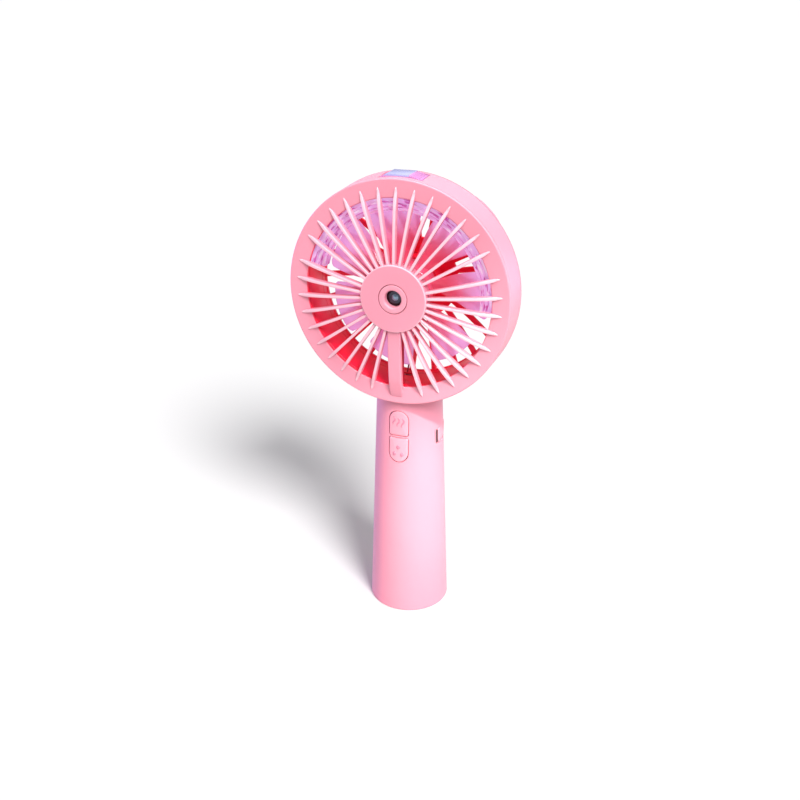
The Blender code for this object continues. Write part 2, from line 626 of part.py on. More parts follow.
def water_tank():
    tank = lathe_y("water_tank", tank_profile(0.0), TANKY, 26, TANK_FROM, TANK_TO)
    edge = math.degrees(TANK_WALL / TANK_OUT_R)
    hollow = lathe_y("hollow", tank_profile(TANK_WALL), TANKY, 26, TANK_FROM + edge, TANK_TO - edge)
    middle = 0.5 * (CAP_Y0 + CAP_Y1) - 0.0006
    neck = lathe_at("neck", rod(NECK_BORE, TANK_OUT_R - 0.0045, TANK_OUT_R + 0.002), TANKY,
                    (FILL_X, middle, HEAD_Z), steps=28)
    tank = combine(tank, [hollow, neck], "DIFFERENCE")
    spout = lathe_y("spout", [
        (TANK_OUT_R - 0.0036, TANK_Y0 + 0.0046), (TANK_OUT_R - 0.0036, TANK_Y0 + 0.0066),
        (TANK_OUT_R - 0.0012, TANK_Y0 + 0.0066), (TANK_OUT_R - 0.0012, TANK_Y0 + 0.0046)], TANKY, 4,
        TANK_TO - 0.6, TANK_TO + 3.4)
    tank = combine(tank, [spout], "UNION")
    tank.name = tank.data.name = "water_tank"
    lid = [(HINGE_X + HINGE_R * math.cos(math.radians(a)), HINGE_Z + HINGE_R * math.sin(math.radians(a)))
           for a in range(112, 291, 22)]
    flat = HEAD_Z + HEAD_R + CAP_RISE
    for k in range(7):
        x = pair_at(HINGE_X + 0.0016, CAP_X1, k / 6)
        lid.append((x, HEAD_Z + math.sqrt(LID_IN_R ** 2 - x * x)))
    lid += [(CAP_X1, HEAD_Z + HEAD_R - 0.0009), (CAP_X1 - 0.0004, HEAD_Z + HEAD_R - 0.0004),
            (0.0047, flat), (HINGE_X + 0.0018, flat)]
    flap = plate("tank_cap", lid, "y", CAP_Y0, CAP_Y1, TANKY)
    teeth = []
    for k in range(4):
        x = pair_at(0.0056, CAP_X1 - 0.0010, k / 3)
        z = pair_at(flat, HEAD_Z + HEAD_R - 0.0004, (x - 0.0047) / (CAP_X1 - 0.0051)) - 0.00035
        teeth.append(block("tooth", x - 0.0003, x + 0.0003, CAP_Y0 + 0.0008, CAP_Y1 - 0.0008, z, z + 0.002))
    flap = combine(flap, [gather("teeth", teeth)], "DIFFERENCE")
    flap.name = flap.data.name = "tank_cap"
    top = LID_IN_R - GAP - 0.0002
    lathe_at("cap_plug", [
        (0.0, TANK_OUT_R - 0.0026), (NECK_BORE - 0.0011, TANK_OUT_R - 0.0026),
        (NECK_BORE - 0.0004, TANK_OUT_R + GAP), (NECK_BORE + 0.0009, TANK_OUT_R + GAP),
        (NECK_BORE + 0.0009, top - 0.0002), (NECK_BORE + 0.0005, top), (0.0, top)], SEAL,
        (FILL_X, middle, HEAD_Z), steps=28)
    ends = [around(0.0475, a, TANK_Y0 + 0.0056) for a in (TANK_TO + 3.4 + 0.4, 108, 120, 132, 144, 156, 168)]
    low = HEAD_Z - 0.0475
    path = ends + [(0.0038, TANK_Y0 + 0.0046, low + 0.0007), (0.0016, TANK_Y0 + 0.0030, low + 0.0018),
                   (0.0014, RIM_Y + 0.0026, low + 0.0060), (0.0014, RIM_Y + 0.0026, HEAD_Z - 0.020),
                   (0.0008, RIM_Y + 0.0034, HEAD_Z - 0.0100), (0.0, RIM_Y + 0.0036, HEAD_Z - 0.0064)]
    tube("feed_tube", smooth_path(path, 1), 0.0010, TUBEM)


FILL_X = 0.0004


# ---------------------------------------------------------------- rotor and motor
def impeller():
    hub = lathe_y("impeller", [
        (0.0, ROTOR_Y0), (0.0078, ROTOR_Y0), (0.0102, ROTOR_Y0 + 0.0006), (ROTOR_HUB_R, ROTOR_Y0 + 0.0022),
        (ROTOR_HUB_R, ROTOR_Y1), (ROTOR_HUB_R - 0.0011, ROTOR_Y1), (ROTOR_HUB_R - 0.0011, ROTOR_Y0 + 0.0030),
        (0.0030, ROTOR_Y0 + 0.0018), (0.0030, ROTOR_Y0 + 0.0040), (SHAFT_R + GAP, ROTOR_Y0 + 0.0040),
        (SHAFT_R + GAP, ROTOR_Y0 + 0.0010), (0.0, ROTOR_Y0 + 0.0010)], LILAC, steps=30)
    blades = []
    y_front, y_back = ROTOR_Y0 + 0.0026, ROTOR_Y1 - 0.0002
    for b in range(BLADES):
        rings = []
        for r, half, twist, thick in ((ROTOR_HUB_R - 0.0006, 17.0, 0.94, 0.0016), (0.018, 18.0, 0.98, 0.0014),
                                      (0.029, 19.5, 0.88, 0.0012), (0.0365, 19.5, 0.78, 0.0010),
                                      (BLADE_R, 16.5, 0.64, 0.0009)):
            lean = 7.0 * (r - ROTOR_HUB_R) / (BLADE_R - ROTOR_HUB_R)
            middle = BLADE_PHASE + 360.0 / BLADES * b + lean
            front, back = [], []
            for k in range(5):
                t = 2.0 * k / 4 - 1.0
                y = 0.5 * (y_front + y_back) + 0.5 * (y_back - y_front) * twist * (t * 0.9 + 0.1 * t ** 3)
                camber = 0.0007 * (1.0 - t * t)
                edge = thick * (0.35 + 0.65 * (1.0 - t * t))
                front.append(around(r, middle + half * t, y - camber - 0.5 * edge))
                back.append(around(r, middle + half * t, y - camber + 0.5 * edge))
            rings.append(front + back[::-1])
        blades.append(loft("blade", rings, LILAC))
    rotor = combine(hub, [gather("blades", blades)], "UNION")
    rotor.name = rotor.data.name = "impeller"
    return rotor


def motor():
    wall = 0.0007
    lathe_y("motor_can", [
        (0.0026, MOTOR_Y0), (MOTOR_R - 0.0005, MOTOR_Y0), (MOTOR_R, MOTOR_Y0 + 0.0005),
        (MOTOR_R, MOTOR_Y1 - 0.0014), (MOTOR_R - wall, MOTOR_Y1 - 0.0014), (MOTOR_R - wall, MOTOR_Y0 + wall),
        (0.0026, MOTOR_Y0 + wall)], CANM, steps=32)
    bell = lathe_y("motor_bell", [
        (0.0026, MOTOR_Y1 - 0.0014 + GAP), (MOTOR_R, MOTOR_Y1 - 0.0014 + GAP), (MOTOR_R, MOTOR_Y1),
        (0.0026, MOTOR_Y1)], BLACKP, steps=32)
    combine(bell, [gather("tap", [lathe_at("tap", rod(SCREW_R + GAP, MOTOR_Y1 - 0.003, MOTOR_Y1 + 0.001), BLACKP,
                                           (s * 0.0052, 0.0, HEAD_Z), "y", 12) for s in (-1, 1)])], "DIFFERENCE")
    for name, y in (("bush_front", MOTOR_Y0), ("bush_rear", MOTOR_Y1 - 0.0014)):
        low = y - 0.0002 if name == "bush_front" else y
        lathe_y(name, [(SHAFT_R + GAP, low), (0.0026 - GAP, low), (0.0026 - GAP, low + 0.0014),
                       (SHAFT_R + GAP, low + 0.0014)], BRASS, steps=20)
    lathe_y("motor_magnet", [
        (0.0066, MOTOR_Y0 + 0.0020), (MOTOR_R - wall - GAP, MOTOR_Y0 + 0.0020),
        (MOTOR_R - wall - GAP, MOTOR_Y1 - 0.0034), (0.0066, MOTOR_Y1 - 0.0034)], MAGNET, steps=32)
    lathe_y("motor_winding", [
        (SHAFT_R + GAP, MOTOR_Y0 + 0.0026), (0.0058, MOTOR_Y0 + 0.0026), (0.0058, MOTOR_Y1 - 0.0038),
        (SHAFT_R + GAP, MOTOR_Y1 - 0.0038)], COPPER, steps=24)
    lathe_y("motor_shaft", rod(SHAFT_R, ROTOR_Y0 + 0.0010 + GAP, MOTOR_Y1 - 0.0001), STEEL, steps=20)


# ---------------------------------------------------------------- handle inside
def handle_inside():
    cap_r = handle_r(0.0) - WALL - GAP
    cap = lathe_at("base_cap", [(0.0, 0.0), (cap_r, 0.0), (cap_r, CAP_T - 0.0003), (0.0, CAP_T - 0.0003)],
                   PINK, (0, 0, 0), steps=48)
    cuts = []
    for s in (-1, 1):
        cuts.append(lathe_at("seat", [(0.0, -0.001), (0.0021, -0.001), (0.0021, 0.0014 + GAP),
                                      (SCREW_R + GAP, 0.0014 + GAP), (SCREW_R + GAP, 0.004), (0.0, 0.004)],
                             PINK, (s * BOSS_X, 0.0, 0.0), steps=20))
    combine(cap, [gather("seats", cuts)], "DIFFERENCE")
    low = CAP_T + 0.0030
    lathe_at("battery_cell", [
        (0.0, low), (CELL_R - 0.0006, low), (CELL_R, low + 0.0006), (CELL_R, low + CELL_LEN - 0.0014),
        (CELL_R - 0.0006, low + CELL_LEN - 0.0008), (0.0030, low + CELL_LEN - 0.0008),
        (0.0028, low + CELL_LEN), (0.0, low + CELL_LEN)], CELLM, (0, 0, 0), steps=40)
    top = low + CELL_LEN + GAP
    block("cell_tab_top", -0.0022, 0.0022, -0.0022, 0.0048, top, top + 0.0003)
    block("cell_tab_bottom", -0.0040, 0.0040, -0.0060, 0.0060, low - GAP - 0.0003, low - GAP)
    board = block("circuit_board", -0.0092, 0.0092, BOARD_Y, BOARD_Y + BOARD_T, 0.0800, 0.1110, BOARDM)
    block("charge_chip", -0.0030, 0.0030, BOARD_Y + BOARD_T + GAP, BOARD_Y + BOARD_T + GAP + 0.0012,
          0.1030, 0.1080, BLACKP)
    block("mist_driver", -0.0074, -0.0034, BOARD_Y + BOARD_T + GAP, BOARD_Y + BOARD_T + GAP + 0.0030,
          0.0860, 0.0900, MAGNET)
    shell_x1 = PORT_FLOOR - 0.0001
    port = rounded("usb_shell", 0.0089, 0.0032, 0.0014, shell_x1 - 0.0073, shell_x1)
    port = combine(port, [rounded("mouth", 0.0083, 0.0026, 0.0012, shell_x1 - 0.0068, 0.03)], "DIFFERENCE")
    port.data.materials[0] = material(STEEL)
    block("usb_tongue", shell_x1 - 0.0065, shell_x1 - 0.0008, -0.0033, 0.0033, PORT_Z - 0.00035, PORT_Z + 0.00035,
          BLACKP)
    board_x = shell_x1 - 0.0076
    block("port_board", board_x, PORT_FLOOR - 0.0022 - GAP, -0.0052, 0.0052, PORT_Z - 0.0016 - GAP - 0.0010,
          PORT_Z - 0.0016 - GAP, BOARDM)

    inner_y = BOARD_Y + BOARD_T + 0.0010
    lift = 0.0008
    for name, x, spec in (("battery_lead_red", 0.0012, REDM), ("battery_lead_black", -0.0068, DARKM)):
        first = (x, 0.0036 if x > 0 else -0.0070, top + 0.0003 + lift if x > 0 else top + 0.0003)
        path = [first, (x, 0.0, 0.0775), (x, inner_y + 0.0012, 0.0800), (x, inner_y, 0.0845)]
        tube(name, smooth_path(path, 1), 0.0006, spec)
    for name, x, spec in (("motor_lead_red", 0.0012, REDM), ("motor_lead_black", -0.0012, DARKM)):
        path = [(x * 2.2, inner_y, 0.1095), (x, inner_y + 0.0004, 0.1135), (x, WEB_FRONT - 0.0024, NECK_Z + 0.0008),
                (x, WEB_FRONT - 0.0020, HEAD_Z - 0.0486), (x, BAND_REAR - 0.0006, HEAD_Z - 0.0464)]
        for r in (0.0410, 0.0350, 0.0280, 0.0210, 0.0160):
            path.append((x, dome_y(r + 0.001) - 0.0018 - 0.0013, HEAD_Z - r))
        path.append((x, MOTOR_Y1 - 0.0042, HEAD_Z - MOTOR_CUP - 0.0014 - 0.0009))
        tube(name, smooth_path(path, 1), 0.00042, spec)
    path = [(-0.0052, inner_y, 0.1095), (-0.0036, inner_y, 0.1135), (-0.0030, WEB_FRONT - 0.0060, NECK_Z + 0.0012),
            (-0.0029, RIM_Y + 0.0062, HEAD_Z - 0.0486), (-0.0028, RIM_Y + 0.0032, HEAD_Z - 0.0462),
            (-0.0022, RIM_Y + 0.0024, HEAD_Z - 0.0420), (-0.0018, RIM_Y + 0.0024, HEAD_Z - 0.0200),
            (-0.0018, RIM_Y + 0.0024, HEAD_Z - 0.0120)]
    tube("mist_lead", smooth_path(path, 1), 0.00055, SEAL)


def hang(name, point, pieces):
    """Puts moving pieces on an empty that stands on their joint's axis, origins and all."""
    axis = bpy.data.objects.new(name, None)
    axis.empty_display_type, axis.empty_display_size = "ARROWS", 0.012
    axis.location = point
    bpy.context.scene.collection.objects.link(axis)
    for piece in pieces:
        obj = bpy.data.objects[piece]
        obj.data.transform(Matrix.Translation([-c for c in point]))
        obj.parent = axis


def main():
    clear()
    front_grille()
    misting_unit()
    body_shell()
    rear_cover()
    screws()
    water_tank()
    impeller()
    motor()
    button("fan_button", True)
    button("mist_button", False)
    port_cover()
    handle_inside()
    hang("rotor_axis", (0.0, ROTOR_Y0, HEAD_Z), ["impeller", "motor_shaft", "motor_winding"])
    hang("flap_hinge", (HINGE_X, 0.5 * (CAP_Y0 + CAP_Y1), HINGE_Z), ["tank_cap", "cap_plug"])
    hang("port_hinge", (PORT_FLOOR + 0.0005, 0.5 * PORT_W - COVER_GAP, PORT_Z), ["port_cover"])
    key = 0.25 * (BUTTON_H + BUTTON_WEB)
    hang("fan_key", (0.0, -NECK_R, BUTTON_Z + key), ["fan_button"])
    hang("mist_key", (0.0, -NECK_R, BUTTON_Z - key), ["mist_button"])


main()
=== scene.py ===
"""Looks of a handheld misting fan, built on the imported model's bodies.

Metres, +Z up.  The handle stands on z = 0 round x = y = 0, the head's axis runs
along Y at Sizes.head_z, and the grille faces -Y.  Angles round the head run
clockwise from the top as seen from the front.
"""

import logging
import math
from dataclasses import dataclass, replace
from enum import Enum
from typing import Callable, Iterable, Optional, Sequence

import bmesh
import bpy
from mathutils import Matrix, Vector


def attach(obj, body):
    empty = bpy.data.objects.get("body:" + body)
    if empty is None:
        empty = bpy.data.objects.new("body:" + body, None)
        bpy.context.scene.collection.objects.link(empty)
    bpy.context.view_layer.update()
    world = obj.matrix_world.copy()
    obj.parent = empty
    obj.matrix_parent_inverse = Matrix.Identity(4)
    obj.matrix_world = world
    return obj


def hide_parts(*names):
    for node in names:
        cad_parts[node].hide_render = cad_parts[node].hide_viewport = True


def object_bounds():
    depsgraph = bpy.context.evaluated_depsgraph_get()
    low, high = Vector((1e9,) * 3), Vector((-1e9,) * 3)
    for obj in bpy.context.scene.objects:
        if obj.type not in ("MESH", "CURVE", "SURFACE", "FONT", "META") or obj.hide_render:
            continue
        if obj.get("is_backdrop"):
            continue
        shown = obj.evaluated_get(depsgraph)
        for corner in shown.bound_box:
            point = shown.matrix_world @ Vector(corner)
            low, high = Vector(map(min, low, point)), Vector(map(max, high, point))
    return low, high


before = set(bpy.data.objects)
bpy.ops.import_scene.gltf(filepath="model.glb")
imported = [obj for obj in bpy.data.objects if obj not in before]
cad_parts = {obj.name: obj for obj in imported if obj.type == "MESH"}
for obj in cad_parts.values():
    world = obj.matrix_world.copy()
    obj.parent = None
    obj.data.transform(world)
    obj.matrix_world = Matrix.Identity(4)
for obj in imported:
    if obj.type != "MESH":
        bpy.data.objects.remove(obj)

LOG = logging.getLogger("misting_fan")

Point = tuple[float, float, float]
Pair = tuple[float, float]
Corner = tuple[float, float, float]
Colour = tuple[float, float, float]
Place = Callable[[float, float, float], Point]


class Body(Enum):
    """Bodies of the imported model."""

    HOUSING = "housing"
    ROTOR = "rotor"
    FLAP = "filler_flap"
    FAN_KEY = "fan_key"
    MIST_KEY = "mist_key"
    PORT = "port_flap"


class Slot(Enum):
    """Material slots of the record."""

    SHELL = "shell"
    KEY = "key"
    ROTOR = "rotor"
    TANK = "tank"
    DISC = "disc"


class Cut(Enum):
    """What a boolean step does."""

    JOIN = "UNION"
    TAKE = "DIFFERENCE"
    KEEP = "INTERSECT"


@dataclass(frozen=True)
class Sizes:
    """Sizes that more than one sub-assembly shares, in metres."""

    head_r: float = 0.0525
    head_z: float = 0.1696
    rim_y: float = -0.0174
    band_rear: float = -0.0013
    dome_r: float = 0.0530
    dome_depth: float = 0.0174
    base_r: float = 0.02005
    neck_r: float = 0.01593
    wall: float = 0.0017
    gap: float = 0.0003
    open_r: float = 0.0440
    hub_r: float = 0.0156
    hub_y: float = -0.0235
    face_y: float = -0.0188
    hub_bore: float = 0.0069

    @property
    def neck_z(self) -> float:
        """Height where the handle meets the head.

        Returns:
            The height in metres.
        """
        return self.head_z - self.head_r

    @property
    def band_in(self) -> float:
        """Inner radius of the side band.

        Returns:
            The radius in metres.
        """
        return self.head_r - self.wall

    def handle_r(self, z: float) -> float:
        """Outside radius of the tapered handle.

        Args:
            z: height above the base.

        Returns:
            The radius at that height.
        """
        return self.base_r + (self.neck_r - self.base_r) * z / self.neck_z

    def dome_y(self, r: float) -> float:
        """Outside of the rear cover.

        Args:
            r: radius from the head's axis.

        Returns:
            The cover's y at that radius.
        """
        return self.band_rear + self.dome_depth * (1.0 - (r / self.dome_r) ** 2)


S = Sizes()


# ------------------------------------------------------------------ mesh tools
def around(radius: float, degrees: float, y: float) -> Point:
    """A point round the head's axis.

    Args:
        radius: distance from the axis.
        degrees: turn clockwise from the top.
        y: place along the axis.

    Returns:
        The point in the model's frame.
    """
    a = math.radians(degrees)
    return (radius * math.sin(a), y, S.head_z + radius * math.cos(a))


def upright(radius: float, degrees: float, z: float) -> Point:
    """A point round the handle's axis.

    Args:
        radius: distance from the axis.
        degrees: turn from +X towards +Y.
        z: height.

    Returns:
        The point in the model's frame.
    """
    a = math.radians(degrees)
    return (radius * math.cos(a), radius * math.sin(a), z)


def round_corners(corners: Sequence[Corner], steps: int = 4) -> list[Pair]:
    """Rounds the corners of a closed outline.

    Args:
        corners: (u, v, rounding) for each corner, rounding being the length cut from each side.
        steps: facets in each rounded corner.

    Returns:
        The outline's points.
    """
    out: list[Pair] = []
    n = len(corners)
    for i, (u, v, cut) in enumerate(corners):
        p = Vector((u, v))
        a = Vector(corners[i - 1][:2]) - p
        b = Vector(corners[(i + 1) % n][:2]) - p
        cut = min(cut, 0.48 * a.length, 0.48 * b.length)
        if cut < 1e-6:
            out.append((u, v))
            continue
        first, last = p + a.normalized() * cut, p + b.normalized() * cut
        for k in range(steps + 1):
            t = k / steps
            q = first * (1 - t) ** 2 + p * 2 * t * (1 - t) + last * t ** 2
            out.append((q.x, q.y))
    return out


def new_object(name: str, points: Iterable[Point], faces: Iterable[Sequence[int]]) -> bpy.types.Object:
    """Links a mesh object made of points and faces.

    Args:
        name: name of the object and its mesh.
        points: vertex places.
        faces: vertex indices of each face.

    Returns:
        The object.
    """
    mesh = bpy.data.meshes.new(name)
    mesh.from_pydata(list(points), [], [list(f) for f in faces])
    obj = bpy.data.objects.new(name, mesh)
    bpy.context.scene.collection.objects.link(obj)
    return settle(obj)


def settle(obj: bpy.types.Object, angle: float = 32.0) -> bpy.types.Object:
    """Welds a mesh, turns its faces outward, shades it smooth and marks its sharp edges.

    Args:
        obj: the mesh object.
        angle: edges that fold more than this many degrees stay sharp.

    Returns:
        The same object.
    """
    work = bmesh.new()
    work.from_mesh(obj.data)
    bmesh.ops.remove_doubles(work, verts=work.verts, dist=2e-6)
    bmesh.ops.dissolve_degenerate(work, edges=work.edges, dist=1e-6)
    bmesh.ops.recalc_face_normals(work, faces=work.faces)
    limit = math.radians(angle)
    for face in work.faces:
        face.smooth = True
    for edge in work.edges:
        edge.smooth = not (len(edge.link_faces) == 2 and edge.calc_face_angle(0) > limit)
    work.to_mesh(obj.data)
    work.free()
    obj.data.update()
    return obj


def bake(obj: bpy.types.Object) -> bpy.types.Object:
    """Replaces an object's mesh by what its modifiers make, and drops the modifiers.

    Args:
        obj: the object with live modifiers.

    Returns:
        The same object.
    """
    bpy.context.view_layer.update()
    graph = bpy.context.evaluated_depsgraph_get()
    made = bpy.data.meshes.new_from_object(obj.evaluated_get(graph))
    obj.modifiers.clear()
    old, obj.data = obj.data, made
    name = old.name
    bpy.data.meshes.remove(old)
    made.name = name
    return obj


def flatten_shading(obj: bpy.types.Object) -> bpy.types.Object:
    """Lets broad faces rule the shading of their small roundings.

    Args:
        obj: the mesh object.

    Returns:
        The same object.
    """
    step = obj.modifiers.new("normals", "WEIGHTED_NORMAL")
    step.keep_sharp = True
    step.weight = 60
    return bake(obj)


def sweep(name: str, profile: Sequence[Pair], place: Place, steps: int,
          start: float = 0.0, stop: float = 360.0) -> bpy.types.Object:
    """Turns a closed profile round an axis.

    Args:
        name: name of the object.
        profile: (radius, distance along the axis) points.
        place: maps (radius, degrees, distance) to a point.
        steps: facets round the turn.
        start: first angle in degrees.
        stop: last angle in degrees.

    Returns:
        The object.
    """
    whole = abs(stop - start - 360.0) < 1e-9
    count = steps if whole else steps + 1
    points: list[Point] = []
    faces: list[list[int]] = []
    index: dict[tuple[int, int], int] = {}
    poles: dict[int, int] = {}
    for i in range(count):
        turn = start + (stop - start) * i / steps
        for j, (r, h) in enumerate(profile):
            if r < 1e-9 and j in poles:
                index[i, j] = poles[j]
                continue
            index[i, j] = len(points)
            points.append(place(r, turn, h))
            if r < 1e-9:
                poles[j] = index[i, j]
    m = len(profile)
    for i in range(steps):
        k = (i + 1) % count if whole else i + 1
        for j in range(m):
            ring = [index[i, j], index[i, (j + 1) % m], index[k, (j + 1) % m], index[k, j]]
            ring = [p for n, p in enumerate(ring) if p != ring[n - 1]]
            if len(ring) >= 3:
                faces.append(ring)
    if not whole:
        faces.append([index[0, j] for j in range(m)])
        faces.append([index[count - 1, j] for j in reversed(range(m))])
    return new_object(name, points, faces)


def loft(name: str, rings: Sequence[Sequence[Point]]) -> bpy.types.Object:
    """Skins a row of rings and closes both ends.

    Args:
        name: name of the object.
        rings: rings of equally many points.

    Returns:
        The object.
    """
    n = len(rings[0])
    points = [p for ring in rings for p in ring]
    faces: list[list[int]] = [list(range(n)), [len(points) - n + i for i in reversed(range(n))]]
    for j in range(len(rings) - 1):
        for i in range(n):
            k = (i + 1) % n
            faces.append([j * n + i, j * n + k, (j + 1) * n + k, (j + 1) * n + i])
    return new_object(name, points, faces)


def plate(name: str, outline: Sequence[Pair], axis: str, low: float, high: float) -> bpy.types.Object:
    """Pushes a flat outline out along an axis.

    Args:
        name: name of the object.
        outline: points across the axis.
        axis: "x", "y" or "z".
        low: first place along the axis.
        high: last place along the axis.

    Returns:
        The object.
    """
    def put(p: Pair, h: float) -> Point:
        return {"x": (h, p[0], p[1]), "y": (p[0], h, p[1]), "z": (p[0], p[1], h)}[axis]

    return loft(name, [[put(p, low) for p in outline], [put(p, high) for p in outline]])


def block(name: str, x: Pair, y: Pair, z: Pair) -> bpy.types.Object:
    """A helper block for cuts.

    Args:
        name: name of the object.
        x: lowest and highest x.
        y: lowest and highest y.
        z: lowest and highest z.

    Returns:
        The object.
    """
    return plate(name, [(x[0], y[0]), (x[1], y[0]), (x[1], y[1]), (x[0], y[1])], "z", z[0], z[1])


def combine(target: bpy.types.Object, others: Sequence[bpy.types.Object], cut: Cut) -> bpy.types.Object:
    """Joins or cuts with the exact solver, then drops the helpers.

    Args:
        target: the object that is kept.
        others: the helpers.
        cut: what the helpers do.

    Returns:
        The target.
    """
    for other in others:
        step = target.modifiers.new("cut", "BOOLEAN")
        step.operation, step.solver, step.object = cut.value, "EXACT", other
    bake(target)
    for other in others:
        bpy.data.objects.remove(other, do_unlink=True)
    return settle(target)


def gather(name: str, parts: Sequence[bpy.types.Object]) -> bpy.types.Object:
    """One object of several separate solids.

    Args:
        name: name of the object.
        parts: the solids, which are removed.

    Returns:
        The object.
    """
    points: list[Point] = []
    faces: list[list[int]] = []
    for part in parts:
        base = len(points)
        points += [tuple(v.co) for v in part.data.vertices]
        faces += [[base + i for i in f.vertices] for f in part.data.polygons]
        bpy.data.objects.remove(part, do_unlink=True)
    return new_object(name, points, faces)


def true_normals(obj: bpy.types.Object, rules: Sequence[Callable[[Vector], Vector]],
                 within: float = 6.0) -> None:
    """Shades the faces that lie on a known surface with that surface's own normals.

    Args:
        obj: the mesh object.
        rules: each gives a surface's outward normal at a point.
        within: a face belongs to a surface if their normals differ by less than this many degrees.
    """
    mesh = obj.data
    normals = [Vector(c.vector) for c in mesh.corner_normals]
    limit = math.cos(math.radians(within))
    for face in mesh.polygons:
        for rule in rules:
            if face.normal.dot(rule(face.center)) > limit:
                for corner in face.loop_indices:
                    normals[corner] = rule(mesh.vertices[mesh.loops[corner].vertex_index].co)
                break
    mesh.normals_split_custom_set(normals)


def handle_normal(p: Vector) -> Vector:
    """Outward normal of the tapered handle.

    Args:
        p: a point on it.

    Returns:
        The normal, or a zero vector away from the handle's surface.
    """
    r = math.hypot(p.x, p.y)
    if p.z > S.neck_z + 0.004 or abs(r - S.handle_r(p.z)) > 0.0003:
        return Vector((0.0, 0.0, 0.0))
    slope = (S.base_r - S.neck_r) / S.neck_z
    return Vector((p.x / r, p.y / r, slope)).normalized()


def band_normal(p: Vector) -> Vector:
    """Outward normal of the head's side band.

    Args:
        p: a point on it.

    Returns:
        The normal, or a zero vector away from the band's surface.
    """
    x, z = p.x, p.z - S.head_z
    r = math.hypot(x, z)
    if r < S.head_r - 0.0006 or p.y > S.band_rear + 0.0001:
        return Vector((0.0, 0.0, 0.0))
    return Vector((x / r, -0.031, z / r)).normalized()


def dress(obj: bpy.types.Object, body: Body, finish: "Finish",
          nodes: Sequence[str] = ()) -> bpy.types.Object:
    """Gives a finished piece its material, its body and the CAD nodes it stands for.

    Args:
        obj: the piece.
        body: the body it rides on.
        finish: its finish.
        nodes: CAD nodes it replaces.

    Returns:
        The same piece.
    """
    obj.data.materials.clear()
    obj.data.materials.append(finish.material())
    for face in obj.data.polygons:
        face.material_index = 0
    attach(obj, body.value)
    if nodes:
        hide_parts(*nodes)
    LOG.info("%s: %d faces on %s", obj.name, len(obj.data.polygons), body.value)
    return obj


# ------------------------------------------------------------------ shader tools
class Graph:
    """Adds and joins nodes of one tree."""

    def __init__(self, tree: bpy.types.NodeTree) -> None:
        """Takes over a tree.

        Args:
            tree: the node tree to build in.
        """
        self.tree = tree

    def add(self, kind: str, **inputs: object) -> bpy.types.Node:
        """Adds a node and fills its inputs.

        Args:
            kind: the node's type name.
            inputs: socket names, with _ for a space, or node settings starting with a small letter.

        Returns:
            The node.
        """
        node = self.tree.nodes.new(kind)
        for key, value in inputs.items():
            if key[0].islower():
                setattr(node, key, value)
            else:
                self.feed(node.inputs[key.replace("_", " ")], value)
        return node

    def feed(self, socket: bpy.types.NodeSocket, value: object) -> None:
        """Links or sets one socket.

        Args:
            socket: the input.
            value: an output socket to link, or a constant.
        """
        if isinstance(value, bpy.types.NodeSocket):
            self.tree.links.new(value, socket)
        elif isinstance(value, tuple) and len(value) == 3 and socket.type == "RGBA":
            socket.default_value = (*value, 1.0)
        else:
            socket.default_value = value

    def math(self, operation: str, *values: object, clamp: bool = False) -> bpy.types.NodeSocket:
        """One maths step.

        Args:
            operation: the operation's name.
            values: operands, sockets or numbers.
            clamp: whether the result is kept between 0 and 1.

        Returns:
            The result's socket.
        """
        node = self.tree.nodes.new("ShaderNodeMath")
        node.operation, node.use_clamp = operation, clamp
        for socket, value in zip(node.inputs, values):
            self.feed(socket, value)
        return node.outputs[0]

    def fade(self, value: object, low: float, high: float) -> bpy.types.NodeSocket:
        """A smooth step from 0 at low to 1 at high.

        Args:
            value: the driving socket.
            low: value where the step starts.
            high: value where it ends.

        Returns:
            The step's socket.
        """
        node = self.add("ShaderNodeMapRange", interpolation_type="SMOOTHSTEP")
        for name, v in (("Value", value), ("From Min", low), ("From Max", high)):
            self.feed(node.inputs[name], v)
        return node.outputs["Result"]

    def mix(self, factor: object, a: object, b: object) -> bpy.types.NodeSocket:
        """Mixes two colours.

        Args:
            factor: 0 gives a, 1 gives b.
            a: colour or socket.
            b: colour or socket.

        Returns:
            The mixed colour's socket.
        """
        node = self.tree.nodes.new("ShaderNodeMix")
        node.data_type = "RGBA"
        self.feed(node.inputs[0], factor)
        self.feed(node.inputs[6], a)
        self.feed(node.inputs[7], b)
        return node.outputs[2]

    def use(self, group: bpy.types.NodeTree, **inputs: object) -> bpy.types.Node:
        """Adds a shared effect.

        Args:
            group: the effect's node group.
            inputs: socket names, with _ for a space.

        Returns:
            The group node.
        """
        node = self.tree.nodes.new("ShaderNodeGroup")
        node.node_tree = group
        for key, value in inputs.items():
            self.feed(node.inputs[key.replace("_", " ")], value)
        return node


